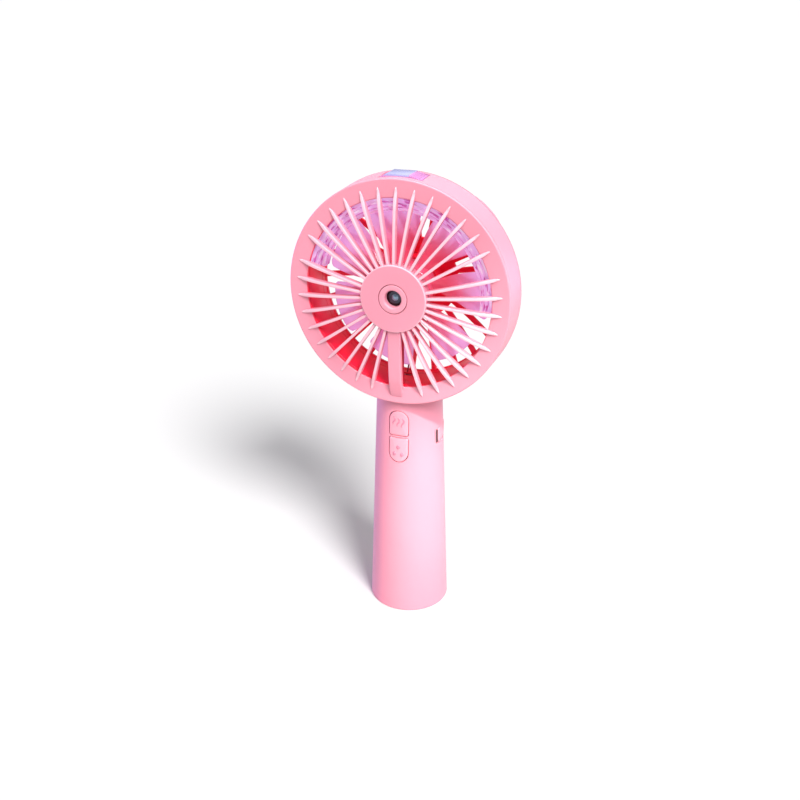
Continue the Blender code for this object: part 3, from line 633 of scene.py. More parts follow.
class Effects:
    """Shader groups that several finishes share."""

    made: dict[str, bpy.types.NodeTree] = {}

    @classmethod
    def group(cls, name: str, inputs: dict[str, float], outputs: Sequence[str],
              build: Callable[[Graph, bpy.types.Node, bpy.types.Node], None]) -> bpy.types.NodeTree:
        """Makes a group once.

        Args:
            name: the group's name.
            inputs: input names and their defaults.
            outputs: output names.
            build: fills the tree from its graph, input node and output node.

        Returns:
            The group.
        """
        if name not in cls.made:
            tree = bpy.data.node_groups.new(name, "ShaderNodeTree")
            for key, default in inputs.items():
                socket = tree.interface.new_socket(name=key, in_out="INPUT", socket_type="NodeSocketFloat")
                socket.default_value = default
            for key in outputs:
                tree.interface.new_socket(name=key, in_out="OUTPUT", socket_type="NodeSocketFloat")
            build(Graph(tree), tree.nodes.new("NodeGroupInput"), tree.nodes.new("NodeGroupOutput"))
            cls.made[name] = tree
        return cls.made[name]

    @classmethod
    def grain(cls) -> bpy.types.NodeTree:
        """Fine moulded grain.

        Returns:
            A group with Scale in, and Height and Tone out.
        """
        def build(g: Graph, source: bpy.types.Node, sink: bpy.types.Node) -> None:
            at = g.add("ShaderNodeTexCoord").outputs["Object"]
            fine = g.add("ShaderNodeTexNoise", Vector=at, Scale=source.outputs["Scale"],
                         Detail=3.0, Roughness=0.6)
            broad = g.add("ShaderNodeTexNoise", Vector=at, Scale=34.0, Detail=2.0)
            g.feed(sink.inputs["Height"], fine.outputs[0])
            g.feed(sink.inputs["Tone"], broad.outputs[0])

        return cls.group("moulded_grain", {"Scale": 2600.0}, ("Height", "Tone"), build)

    @classmethod
    def handling(cls) -> bpy.types.NodeTree:
        """Faint smears and hairline rubs that change the gloss.

        Returns:
            A group with Amount in, and Value out.
        """
        def build(g: Graph, source: bpy.types.Node, sink: bpy.types.Node) -> None:
            at = g.add("ShaderNodeTexCoord").outputs["Object"]
            smear = g.add("ShaderNodeTexNoise", Vector=at, Scale=70.0, Detail=4.0, Distortion=1.2)
            long = g.add("ShaderNodeMapping", Vector=at, Scale=(900.0, 900.0, 60.0), Rotation=(0.3, 0.5, 0.2))
            hair = g.add("ShaderNodeTexNoise", Vector=long.outputs[0], Scale=1.0, Detail=1.0)
            lines = g.fade(hair.outputs[0], 0.66, 0.72)
            both = g.math("ADD", g.math("SUBTRACT", smear.outputs[0], 0.5), g.math("MULTIPLY", lines, 0.25))
            g.feed(sink.inputs["Value"], g.math("MULTIPLY", both, source.outputs["Amount"]))

        return cls.group("handling_marks", {"Amount": 0.12}, ("Value",), build)

    @classmethod
    def duct(cls) -> bpy.types.NodeTree:
        """Mask of the painted shade deep inside the air duct, behind the ring and in front of the rear cover's outside,
        and the radius from the head's axis.

        Returns:
            A group with Painted Shade, the mask of the painted shade inside the duct, and Radius out.
        """
        def build(g: Graph, source: bpy.types.Node, sink: bpy.types.Node) -> None:
            split = g.add("ShaderNodeSeparateXYZ", Vector=g.add("ShaderNodeTexCoord").outputs["Object"])
            x, y, z = split.outputs
            z = g.math("SUBTRACT", z, S.head_z)
            square = g.math("ADD", g.math("MULTIPLY", x, x), g.math("MULTIPLY", z, z))
            radius = g.math("SQRT", square)
            dome = g.math("MULTIPLY_ADD", square, -S.dome_depth / S.dome_r ** 2, S.band_rear + S.dome_depth)
            # Painted shade: under the dome's outside, behind Front and inside the duct's opening.
            under = g.fade(g.math("SUBTRACT", dome, y), 0.0003, 0.0012)
            past = g.fade(y, source.outputs["Front"], g.math("ADD", source.outputs["Front"], 0.0008))
            near = g.math("SUBTRACT", 1.0, g.fade(radius, S.open_r + 0.0004, S.open_r + 0.0010))
            g.feed(sink.inputs["Inside"], g.math("MULTIPLY", g.math("MULTIPLY", under, past), near))
            g.feed(sink.inputs["Radius"], radius)

        return cls.group("duct_depth", {"Front": -0.0170}, ("Inside", "Radius"), build)

    @classmethod
    def painted_streaks(cls) -> bpy.types.NodeTree:
        """Painted glints and painted dark streaks round the head's axis, with a painted dark line at the tank's step,
        standing in for light and shade in thick clear plastic.

        Returns:
            A group with Light and Dark out.
        """
        # step_r: radius of the tank's step, where a painted dark line runs.
        step_r = 0.0396
        round_scale, out_scale, deep_scale = 9.0, 900.0, 500.0

        def build(g: Graph, source: bpy.types.Node, sink: bpy.types.Node) -> None:
            split = g.add("ShaderNodeSeparateXYZ", Vector=g.add("ShaderNodeTexCoord").outputs["Object"])
            x, y, z = split.outputs
            z = g.math("SUBTRACT", z, S.head_z)
            radius = g.math("SQRT", g.math("ADD", g.math("MULTIPLY", x, x), g.math("MULTIPLY", z, z)))
            turn = g.math("ARCTAN2", x, z)
            spot = g.add("ShaderNodeCombineXYZ", X=g.math("MULTIPLY", turn, round_scale),
                         Y=g.math("MULTIPLY", radius, out_scale), Z=g.math("MULTIPLY", y, deep_scale))
            noise = g.add("ShaderNodeTexNoise", Vector=spot.outputs[0], Scale=0.8, Detail=2.0)
            step = g.math("ABSOLUTE", g.math("SUBTRACT", radius, step_r))
            edge = g.math("SUBTRACT", 1.0, g.fade(step, 0.0001, 0.0004))
            low = g.math("SUBTRACT", 1.0, g.fade(noise.outputs[0], 0.36, 0.44))
            # Light is a mask of painted glints; Dark is a mask of painted dark streaks and the dark line at the step.
            g.feed(sink.inputs["Light"], g.fade(noise.outputs[0], 0.58, 0.66))
            g.feed(sink.inputs["Dark"], g.math("MAXIMUM", low, g.math("MULTIPLY", edge, 0.6)))

        return cls.group("tank_painted_streaks", {}, ("Light", "Dark"), build)

    @classmethod
    def crest(cls) -> bpy.types.NodeTree:
        """Where an edge takes a painted highlight, from the mesh's crest attribute broken up by noise.

        Returns:
            A group with Value out.
        """
        def build(g: Graph, source: bpy.types.Node, sink: bpy.types.Node) -> None:
            mark = g.add("ShaderNodeAttribute", attribute_name="crest")
            at = g.add("ShaderNodeTexCoord").outputs["Object"]
            noise = g.add("ShaderNodeTexNoise", Vector=at, Scale=420.0, Detail=2.0)
            broken = g.math("MULTIPLY_ADD", noise.outputs[0], 0.3, 0.85)
            g.feed(sink.inputs["Value"], g.math("MULTIPLY", mark.outputs["Fac"], broken, clamp=True))

        return cls.group("crest_highlight", {}, ("Value",), build)


class Finish:
    """A material that is built once, when first used."""

    name: str

    def material(self) -> bpy.types.Material:
        """The Blender material.

        Returns:
            The material, built on first use.
        """
        found = bpy.data.materials.get(self.name)
        if found is None:
            found = bpy.data.materials.new(self.name)
            found.use_nodes = True
            graph = Graph(found.node_tree)
            self.build(graph, found.node_tree.nodes["Principled BSDF"])
        return found

    def build(self, graph: Graph, shader: bpy.types.Node) -> None:
        """Fills the material's tree.

        Args:
            graph: the tree's graph.
            shader: its Principled shader.
        """
        raise NotImplementedError

    @staticmethod
    def surface(graph: Graph, shader: bpy.types.Node, roughness: float, height: bpy.types.NodeSocket,
                strength: float, marks: float = 0.12) -> None:
        """Feeds roughness with handling marks, and a bump from a height.

        Args:
            graph: the material's graph.
            shader: its shader.
            roughness: middle roughness.
            height: the bump's height.
            strength: the bump's strength.
            marks: how much handling changes the roughness.
        """
        rub = graph.use(Effects.handling(), Amount=marks)
        graph.feed(shader.inputs["Roughness"], graph.math("ADD", rub.outputs["Value"], roughness, clamp=True))
        bump = graph.add("ShaderNodeBump", Strength=strength, Distance=0.00004, Height=height)
        graph.feed(shader.inputs["Normal"], bump.outputs[0])


@dataclass(frozen=True)
class Moulded(Finish):
    """Satin moulded plastic, with painted shade inside the air duct and a painted highlight on crests."""

    name: str
    colour: Colour
    # deep: colour of the painted shade inside the duct; light: colour of the painted highlight on crests; front: where
    # the painted duct shade begins.
    deep: Colour
    light: Colour
    roughness: float = 0.42
    grain: float = 0.10
    subsurface: float = 0.0
    front: float = -0.0170

    def build(self, graph: Graph, shader: bpy.types.Node) -> None:
        """Fills the material's tree.

        Args:
            graph: the tree's graph.
            shader: its Principled shader.
        """
        grain = graph.use(Effects.grain(), Scale=2600.0)
        tone = graph.math("MULTIPLY_ADD", grain.outputs["Tone"], 0.10, 0.95)
        base = graph.add("ShaderNodeVectorMath", operation="SCALE")
        graph.feed(base.inputs[0], self.colour)
        graph.feed(base.inputs["Scale"], tone)
        duct = graph.use(Effects.duct(), Front=self.front)
        crest = graph.use(Effects.crest())
        # Painted shade inside the duct, then a painted highlight on crests.
        shade = graph.mix(duct.outputs["Inside"], base.outputs[0], self.deep)
        graph.feed(shader.inputs["Base Color"], graph.mix(crest.outputs["Value"], shade, self.light))
        self.surface(graph, shader, self.roughness, grain.outputs["Height"], self.grain)
        if self.subsurface:
            shader.inputs["Subsurface Weight"].default_value = self.subsurface
            shader.inputs["Subsurface Radius"].default_value = (1.0, 0.35, 0.4)
            shader.inputs["Subsurface Scale"].default_value = 0.0012


@dataclass(frozen=True)
class Tinted(Finish):
    """Clear tinted plastic whose tint changes with the distance from the head's axis, with a painted glow and, where
    glints is set, painted glints and dark streaks.
    """

    name: str
    inner: Colour
    outer: Colour
    radii: Pair
    roughness: float = 0.16
    transmission: float = 0.5
    # glow: emission in the tint's colour, a painted glow standing in for light passing through the plastic.
    glow: float = 0.0
    glints: bool = False

    def build(self, graph: Graph, shader: bpy.types.Node) -> None:
        """Fills the material's tree.

        Args:
            graph: the tree's graph.
            shader: its Principled shader.
        """
        duct = graph.use(Effects.duct())
        grain = graph.use(Effects.grain(), Scale=600.0)
        # The rotor's crimson inner tint is painted shade: the duct's painted crimson seen through the blades.
        way = graph.fade(duct.outputs["Radius"], self.radii[0], self.radii[1])
        way = graph.math("MULTIPLY_ADD", graph.math("SUBTRACT", grain.outputs["Tone"], 0.5), 0.25, way, clamp=True)
        tint = graph.mix(way, self.inner, self.outer)
        # Painted glints and painted dark streaks.
        if self.glints:
            painted_streaks = graph.use(Effects.painted_streaks())
            tint = graph.mix(painted_streaks.outputs["Dark"], tint, (0.62, 0.12, 0.42))
            tint = graph.mix(painted_streaks.outputs["Light"], tint, (0.98, 0.95, 1.0))
        graph.feed(shader.inputs["Base Color"], tint)
        # Painted glow.
        graph.feed(shader.inputs["Emission Color"], tint)
        shader.inputs["Emission Strength"].default_value = self.glow
        self.surface(graph, shader, self.roughness, grain.outputs["Height"], 0.05, 0.08)
        shader.inputs["Transmission Weight"].default_value = self.transmission
        shader.inputs["IOR"].default_value = 1.46


@dataclass(frozen=True)
class Metal(Finish):
    """Turned or drawn metal with fine lines."""

    name: str
    colour: Colour
    roughness: float = 0.3
    lines: float = 4200.0

    def build(self, graph: Graph, shader: bpy.types.Node) -> None:
        """Fills the material's tree.

        Args:
            graph: the tree's graph.
            shader: its Principled shader.
        """
        at = graph.add("ShaderNodeTexCoord").outputs["Object"]
        wave = graph.add("ShaderNodeTexWave", Vector=at, Scale=self.lines, Distortion=6.0, Detail=2.0)
        grain = graph.use(Effects.grain(), Scale=1800.0)
        dark = tuple(0.72 * c for c in self.colour)
        graph.feed(shader.inputs["Base Color"], graph.mix(grain.outputs["Tone"], dark, self.colour))
        shader.inputs["Metallic"].default_value = 1.0
        self.surface(graph, shader, self.roughness, wave.outputs["Fac"], 0.10)


@dataclass(frozen=True)
class Matt(Finish):
    """Rubber, cotton, sleeves and other plain soft or painted finishes."""

    name: str
    colour: Colour
    roughness: float = 0.6
    scale: float = 1400.0
    depth: float = 0.25

    def build(self, graph: Graph, shader: bpy.types.Node) -> None:
        """Fills the material's tree.

        Args:
            graph: the tree's graph.
            shader: its Principled shader.
        """
        grain = graph.use(Effects.grain(), Scale=self.scale)
        dark = tuple(0.7 * c for c in self.colour)
        graph.feed(shader.inputs["Base Color"], graph.mix(grain.outputs["Tone"], dark, self.colour))
        self.surface(graph, shader, self.roughness, grain.outputs["Height"], self.depth)


@dataclass(frozen=True)
class Winding(Finish):
    """Enamelled copper wire wound in close turns."""

    name: str = "winding_copper"

    def build(self, graph: Graph, shader: bpy.types.Node) -> None:
        """Fills the material's tree.

        Args:
            graph: the tree's graph.
            shader: its Principled shader.
        """
        at = graph.add("ShaderNodeTexCoord").outputs["Object"]
        wave = graph.add("ShaderNodeTexWave", Vector=at, Scale=900.0, Distortion=0.6, bands_direction="Y")
        copper = graph.mix(wave.outputs["Fac"], (0.30, 0.09, 0.03), (0.85, 0.38, 0.16))
        graph.feed(shader.inputs["Base Color"], copper)
        shader.inputs["Metallic"].default_value = 0.9
        self.surface(graph, shader, 0.3, wave.outputs["Fac"], 0.6)


@dataclass(frozen=True)
class Circuit(Finish):
    """Solder-masked board with copper tracks under the mask and bright pads."""

    name: str = "circuit_green"

    def build(self, graph: Graph, shader: bpy.types.Node) -> None:
        """Fills the material's tree.

        Args:
            graph: the tree's graph.
            shader: its Principled shader.
        """
        at = graph.add("ShaderNodeTexCoord").outputs["Object"]
        tracks = graph.add("ShaderNodeTexBrick", Vector=at, Scale=420.0)
        cells = graph.add("ShaderNodeTexVoronoi", Vector=at, Scale=520.0)
        pads = graph.math("LESS_THAN", cells.outputs["Distance"], 0.16)
        mask = graph.mix(tracks.outputs["Fac"], (0.015, 0.16, 0.07), (0.04, 0.30, 0.12))
        graph.feed(shader.inputs["Base Color"], graph.mix(pads, mask, (0.75, 0.70, 0.55)))
        graph.feed(shader.inputs["Metallic"], pads)
        self.surface(graph, shader, 0.36, tracks.outputs["Fac"], 0.3)


@dataclass(frozen=True)
class Sleeve(Finish):
    """Shrink sleeve round the cell, with a pale band near each end."""

    name: str = "cell_sleeve"

    def build(self, graph: Graph, shader: bpy.types.Node) -> None:
        """Fills the material's tree.

        Args:
            graph: the tree's graph.
            shader: its Principled shader.
        """
        split = graph.add("ShaderNodeSeparateXYZ", Vector=graph.add("ShaderNodeTexCoord").outputs["Object"])
        z = split.outputs["Z"]
        low = graph.math("SUBTRACT", 1.0, graph.fade(z, 0.0100, 0.0102))
        high = graph.fade(z, 0.0650, 0.0652)
        band = graph.math("ADD", low, high, clamp=True)
        grain = graph.use(Effects.grain(), Scale=500.0)
        body = graph.mix(grain.outputs["Tone"], (0.05, 0.16, 0.42), (0.10, 0.26, 0.58))
        graph.feed(shader.inputs["Base Color"], graph.mix(band, body, (0.80, 0.82, 0.86)))
        self.surface(graph, shader, 0.30, grain.outputs["Height"], 0.2)


@dataclass(frozen=True)
class MistPlate(Finish):
    """Pierced metal disc: a blue-grey middle in a darker rim."""

    name: str = "mist_plate"

    def build(self, graph: Graph, shader: bpy.types.Node) -> None:
        """Fills the material's tree.

        Args:
            graph: the tree's graph.
            shader: its Principled shader.
        """
        duct = graph.use(Effects.duct())
        at = graph.add("ShaderNodeTexCoord").outputs["Object"]
        holes = graph.add("ShaderNodeTexVoronoi", Vector=at, Scale=5200.0)
        dots = graph.fade(holes.outputs["Distance"], 0.18, 0.34)
        rim = graph.fade(duct.outputs["Radius"], 0.0013, 0.0017)
        middle = graph.mix(dots, (0.05, 0.07, 0.09), (0.24, 0.34, 0.44))
        dark = graph.mix(graph.fade(duct.outputs["Radius"], 0.0027, 0.0031), (0.06, 0.06, 0.08), (0.03, 0.012, 0.018))
        graph.feed(shader.inputs["Base Color"], graph.mix(rim, middle, dark))
        shader.inputs["Metallic"].default_value = 0.85
        self.surface(graph, shader, 0.24, dots, 0.3)


@dataclass(frozen=True)
class FlapTint(Finish):
    """Clear tinted flap: blue-lavender flat top, magenta towards its hinge and its toothed end."""

    name: str = "flap_lavender"

    def build(self, graph: Graph, shader: bpy.types.Node) -> None:
        """Fills the material's tree.

        Args:
            graph: the tree's graph.
            shader: its Principled shader.
        """
        split = graph.add("ShaderNodeSeparateXYZ", Vector=graph.add("ShaderNodeTexCoord").outputs["Object"])
        x, _, z = split.outputs
        right = graph.fade(x, 0.0042, 0.0050)
        left = graph.math("SUBTRACT", 1.0, graph.fade(x, -0.0076, -0.0066))
        low = graph.math("SUBTRACT", 1.0, graph.fade(z, S.head_z + 0.0524, S.head_z + 0.0530))
        ends = graph.math("MAXIMUM", graph.math("MAXIMUM", right, left), low)
        grain = graph.use(Effects.grain(), Scale=600.0)
        top = graph.mix(grain.outputs["Tone"], (0.32, 0.34, 0.66), (0.46, 0.48, 0.76))
        magenta = graph.mix(grain.outputs["Tone"], (0.48, 0.13, 0.42), (0.76, 0.42, 0.72))
        graph.feed(shader.inputs["Base Color"], graph.mix(ends, top, magenta))
        self.surface(graph, shader, 0.16, grain.outputs["Height"], 0.05, 0.08)
        shader.inputs["Transmission Weight"].default_value = 0.25
        shader.inputs["IOR"].default_value = 1.46


# Moulded colours: own colour, painted shade inside the duct, painted highlight on crests. RING starts the painted duct
# shade further forward.
PINK = Moulded("shell_pink", (0.70, 0.245, 0.325), (0.93, 0.010, 0.050), (0.80, 0.46, 0.53), 0.42, 0.10, 0.08)
RING = replace(PINK, name="ring_pink", front=-0.0184)
# The signs' darker rose is painted shade standing in for the shading round the raised strokes.
SIGN = Moulded("sign_painted_shade", (0.50, 0.170, 0.25), (0.93, 0.010, 0.050), (0.82, 0.50, 0.57), 0.46, 0.14, 0.08)
# The port slot's dark finish is painted shade: a dark sheet where the port's gap lies in shadow.
SLOT_SHADE = Matt("slot_painted_shade", (0.10, 0.035, 0.045), 0.6, 900.0, 0.1)
PALE = Moulded("key_pink", (0.71, 0.265, 0.345), (0.93, 0.010, 0.050), (0.82, 0.50, 0.57), 0.46, 0.14, 0.08)
# LILAC and LAVENDER glow faintly, a painted glow standing in for light through the plastic; LAVENDER also takes painted
# glints and dark streaks.
# LILAC's crimson towards the hub is painted shade seen through the blades.
LILAC = Tinted("rotor_lilac", (0.88, 0.15, 0.28), (0.88, 0.50, 0.88), (0.018, 0.036), 0.14, 0.50, 0.14)
LAVENDER = Tinted("tank_lavender", (0.92, 0.55, 0.88), (0.88, 0.66, 0.97), (0.036, 0.044), 0.05, 0.60,
                  glow=0.13, glints=True)
LID = FlapTint()
ROSE_LEAD = Matt("lead_rose", (0.70, 0.03, 0.08), 0.45, 900.0, 0.1)
ZINC = Metal("motor_zinc", (0.62, 0.63, 0.65), 0.34)
STEEL = Metal("bright_steel", (0.70, 0.71, 0.74), 0.24)
BRASS = Metal("bush_brass", (0.83, 0.62, 0.28), 0.30)
NYLON = Matt("black_nylon", (0.035, 0.035, 0.04), 0.45, 1800.0, 0.2)
FERRITE = Matt("ferrite_grey", (0.13, 0.13, 0.14), 0.65, 900.0, 0.4)
SEALANT = Matt("seal_white", (0.86, 0.84, 0.85), 0.55, 1200.0, 0.2)
COTTON = Matt("wick_cotton", (0.90, 0.88, 0.84), 0.95, 700.0, 0.9)
RED_LEAD = Matt("lead_red", (0.72, 0.02, 0.03), 0.42, 900.0, 0.1)
BLACK_LEAD = Matt("lead_black", (0.02, 0.02, 0.02), 0.42, 900.0, 0.1)
WINE_LEAD = Matt("lead_wine", (0.34, 0.01, 0.03), 0.42, 900.0, 0.1)


# ------------------------------------------------------------------ repeats
class RadialArray:
    """Geometry Nodes tree that repeats a mesh round the head's axis."""

    NAME = "radial_array"

    @classmethod
    def tree(cls) -> bpy.types.NodeTree:
        """The node tree.

        Returns:
            The tree, built on first use.
        """
        found = bpy.data.node_groups.get(cls.NAME)
        if found is not None:
            return found
        tree = bpy.data.node_groups.new(cls.NAME, "GeometryNodeTree")
        face = tree.interface
        face.new_socket(name="Geometry", in_out="INPUT", socket_type="NodeSocketGeometry")
        face.new_socket(name="Count", in_out="INPUT", socket_type="NodeSocketInt")
        for name in ("Pitch", "First", "Wide After", "Extra", "Height"):
            face.new_socket(name=name, in_out="INPUT", socket_type="NodeSocketFloat")
        face.new_socket(name="Material", in_out="INPUT", socket_type="NodeSocketMaterial")
        face.new_socket(name="Geometry", in_out="OUTPUT", socket_type="NodeSocketGeometry")
        g = Graph(tree)
        source = tree.nodes.new("NodeGroupInput").outputs
        spots = g.add("GeometryNodePoints", Count=source["Count"])
        place = g.add("ShaderNodeCombineXYZ", Z=source["Height"])
        g.feed(spots.inputs["Position"], place.outputs[0])
        middle = g.math("MULTIPLY", g.math("SUBTRACT", source["Count"], 1.0), 0.5)
        step = g.math("SUBTRACT", g.add("GeometryNodeInputIndex").outputs[0], middle)
        late = g.math("GREATER_THAN", g.math("ABSOLUTE", step), source["Wide After"])
        extra = g.math("MULTIPLY", g.math("MULTIPLY", g.math("SIGN", step), late), source["Extra"])
        turn = g.math("ADD", g.math("ADD", g.math("MULTIPLY", step, source["Pitch"]), extra), source["First"])
        euler = g.add("ShaderNodeCombineXYZ", Y=g.math("RADIANS", turn))
        spin = g.add("FunctionNodeEulerToRotation")
        g.feed(spin.inputs[0], euler.outputs[0])
        copies = g.add("GeometryNodeInstanceOnPoints", Points=spots.outputs[0], Instance=source["Geometry"])
        g.feed(copies.inputs["Rotation"], spin.outputs[0])
        whole = g.add("GeometryNodeRealizeInstances", Geometry=copies.outputs[0])
        painted = g.add("GeometryNodeSetMaterial", Geometry=whole.outputs[0], Material=source["Material"])
        sink = tree.nodes.new("NodeGroupOutput")
        g.feed(sink.inputs[0], painted.outputs[0])
        return tree

    @classmethod
    def spread(cls, obj: bpy.types.Object, finish: Finish, count: int, pitch: float, first: float = 0.0,
               wide_after: float = 1e3, extra: float = 0.0) -> bpy.types.Object:
        """Repeats one template, drawn at the top of the axis with the axis at z = 0, into a plain mesh.

        Args:
            obj: the template, which becomes the whole ring.
            finish: the finish set on the copies.
            count: number of copies.
            pitch: degrees between copies.
            first: degrees the whole ring is turned.
            wide_after: steps from the middle after which extra is added.
            extra: degrees added once on each side.

        Returns:
            The same object.
        """
        step = obj.modifiers.new("radial", "NODES")
        step.node_group = cls.tree()
        values = {"Count": count, "Pitch": pitch, "First": first, "Wide After": wide_after, "Extra": extra,
                  "Height": S.head_z, "Material": finish.material()}
        for item in cls.tree().interface.items_tree:
            if item.in_out == "INPUT" and item.name in values:
                step[item.identifier] = values[item.name]
        return bake(obj)


def mark_crest(obj: bpy.types.Object, rule: Callable[[Vector], float]) -> None:
    """Writes the crest attribute that places the painted highlight on edges.

    Args:
        obj: the mesh object.
        rule: how much of the light finish a vertex takes, from its place.
    """
    layer = obj.data.attributes.new("crest", "FLOAT", "POINT")
    layer.data.foreach_set("value", [rule(v.co) for v in obj.data.vertices])


def smooth_between(stations: Sequence[Corner], steps: int) -> list[Corner]:
    """Interpolates stations along a piece with a smooth curve.

    Args:
        stations: three numbers at each station.
        steps: new stations between neighbours.

    Returns:
        The finer row of stations.
    """
    out: list[Corner] = []
    for i in range(len(stations) - 1):
        p = [stations[max(i - 1, 0)], stations[i], stations[i + 1], stations[min(i + 2, len(stations) - 1)]]
        for k in range(steps):
            t = k / steps
            out.append(tuple(
                0.5 * (2 * p[1][c] + (p[2][c] - p[0][c]) * t + (2 * p[0][c] - 5 * p[1][c] + 4 * p[2][c] - p[3][c]) * t
                       ** 2 + (3 * p[1][c] - p[0][c] - 3 * p[2][c] + p[3][c]) * t ** 3) for c in range(3)))
    return out + [tuple(stations[-1])]


# ------------------------------------------------------------------ front grille
@dataclass
class FrontGrille:
    """Ring, curved ribs, hub and the strip below it."""

    rib_w: float = 0.00132
    rib_d: float = 0.0029
    tip_r: float = 0.0489
    bridge_w: float = 0.0062
    finish: Finish = PINK

    def ring(self) -> bpy.types.Object:
        """Flat ring with a rounded rim.

        Returns:
            The piece.
        """
        face, back = S.face_y, S.rim_y + 0.0007
        lip = S.band_in - S.gap
        profile = round_corners([
            (S.open_r, back, 0.0), (S.open_r, face + 0.0004, 0.0007), (S.head_r, face, 0.0015),
            (S.head_r, S.rim_y + 0.0002, 0.0001), (lip, S.rim_y + 0.0002, 0.0), (lip, back + 0.0012, 0.0),
            (S.band_in - 0.0010, back + 0.0012, 0.0), (S.band_in - 0.0010, back, 0.0)], 6)
        return flatten_shading(sweep("grille_ring", profile, around, 224))

    def hub(self) -> bpy.types.Object:
        """Drum in the middle, with a flat face and a bore for the bezel.

        Returns:
            The piece.
        """
        face, inner = S.hub_y, S.hub_r - 0.0013
        profile = round_corners([
            (S.hub_bore, face, 0.0002), (S.hub_r, face, 0.0006), (S.hub_r, S.rim_y, 0.0003), (inner, S.rim_y, 0.0002),
            (inner, face + 0.0016, 0.0004), (S.hub_bore, face + 0.0016, 0.0)], 5)
        hub = sweep("grille_hub", profile, around, 144)
        # Painted highlight on the hub's front rim.
        mark_crest(hub, lambda p: 0.55 if p.y < face + 0.0006 and math.hypot(p.x, p.z - S.head_z) > S.hub_r - 0.0005
                   else 0.0)
        return flatten_shading(hub)

    def ribs(self) -> bpy.types.Object:
        """Blade-like ribs from the hub's side down onto the ring, each ending in a point.

        Returns:
            The piece.
        """
        y = S.hub_y
        stations = [(S.hub_r - 0.0005, y + 0.0010, 1.0), (0.0225, y + 0.0012, 1.0), (0.030, y + 0.0016, 1.0),
                    (0.0395, y + 0.0025, 1.10), (0.0440, y + 0.0035, 1.18), (self.tip_r - 0.0022, y + 0.0043, 1.04),
                    (self.tip_r - 0.0008, S.face_y - 0.00030, 0.66), (self.tip_r + 0.0003, S.face_y + 0.0003, 0.14)]
        back = S.face_y + 0.0009
        rings: list[list[Point]] = []
        for r, front, wide in smooth_between(stations, 4):
            deep = min(front + self.rib_d, back + 0.0004) if r <= S.open_r - 0.0020 else back
            half = 0.5 * self.rib_w * wide
            soft = min(0.0004, 0.8 * half, 0.45 * (deep - front))
            outline = round_corners([(-half, deep, 0.0), (-half, front, soft), (half, front, soft),
                                     (half, deep, 0.0)], 3)
            rings.append([(u, v, r) for u, v in outline])
        rib = loft("grille_ribs", rings)
        # Painted highlight along each rib's front edge, fading towards its back.
        layer = rib.data.attributes.new("crest", "FLOAT", "POINT")
        marks = []
        for v in rib.data.vertices:
            front = min(p[1] for ring in rings for p in ring if abs(p[2] - v.co.z) < 1e-6)
            marks.append(max(0.0, 0.85 - (v.co.y - front) / 0.0006))
        layer.data.foreach_set("value", marks)
        return RadialArray.spread(rib, self.finish, 33, 10.0, 0.0, 6.5, 5.0)

    def bridge(self) -> bpy.types.Object:
        """The wide strip straight down from the hub, with a rounded foot on the ring.

        Returns:
            The piece.
        """
        y = S.hub_y
        stations = [(S.hub_r - 0.0006, y + 0.0012, 1.0), (0.022, y + 0.0013, 1.0), (0.030, y + 0.0015, 1.0),
                    (0.039, y + 0.0021, 1.0), (0.0435, y + 0.0030, 1.0), (0.0470, y + 0.0040, 1.0),
                    (0.0484, S.face_y - 0.0002, 0.93), (0.0491, S.face_y + 0.0001, 0.78),
                    (0.0494, S.face_y + 0.0004, 0.50)]
        rings = []
        for r, front, wide in smooth_between(stations, 4):
            half = 0.5 * self.bridge_w * wide
            deep = min(front + 0.0024, S.face_y + 0.0009) if r <= S.open_r - 0.0010 else S.face_y + 0.0009
            soft = min(0.0006, 0.45 * (deep - front))
            outline = round_corners([(-half, deep, 0.0), (-half, front, soft), (half, front, soft),
                                     (half, deep, 0.0)], 4)
            rings.append([(u, v, S.head_z - r) for u, v in outline])
        return flatten_shading(loft("grille_bridge", rings))

    def build(self) -> None:
        """Builds and dresses the grille's pieces."""
        for n, piece in enumerate((self.ring(), self.hub(), self.ribs(), self.bridge())):
            finish, stood_for = (self.finish, ()) if n else (RING, ("front_grille",))
            dress(piece, Body.HOUSING, finish, stood_for)


@dataclass
class Nozzle:
    """Bezel and misting disc in the hub."""

    hole_r: float = 0.0039

    def bezel(self) -> bpy.types.Object:
        """Ring in the hub's bore, with a dished opening.

        Returns:
            The piece.
        """
        face, outer = S.hub_y, S.hub_bore - S.gap
        profile = round_corners([
            (self.hole_r, face + 0.0031, 0.0), (self.hole_r, face + 0.0005, 0.0004),
            (self.hole_r + 0.0005, face - 0.0001, 0.0003), (outer, face - 0.0001, 0.0004),
            (outer, face + 0.0019, 0.0), (0.0082, face + 0.0019, 0.0), (0.0082, face + 0.0031, 0.0)], 5)
        return flatten_shading(sweep("nozzle_bezel_ring", profile, around, 96))

    def disc(self) -> bpy.types.Object:
        """Thin pierced disc with a domed middle.

        Returns:
            The piece.
        """
        back = S.hub_y + 0.0034
        dome = [(0.0016 * k / 6, back - 0.0004 * math.cos(0.5 * math.pi * k / 6)) for k in range(7)]
        profile = dome + [(0.0028, back), (0.0029, back - 0.00012), (0.0033, back - 0.00012), (0.0034, back),
                          (0.0060, back), (0.0060, back + 0.0004), (0.0, back + 0.0003)]
        return sweep("nozzle_disc", profile, around, 64)

    def build(self) -> None:
        """Builds and dresses the nozzle's pieces."""
        dress(self.bezel(), Body.HOUSING, PALE, ("nozzle_bezel",))
        dress(self.disc(), Body.HOUSING, MistPlate(), ("mist_disc",))


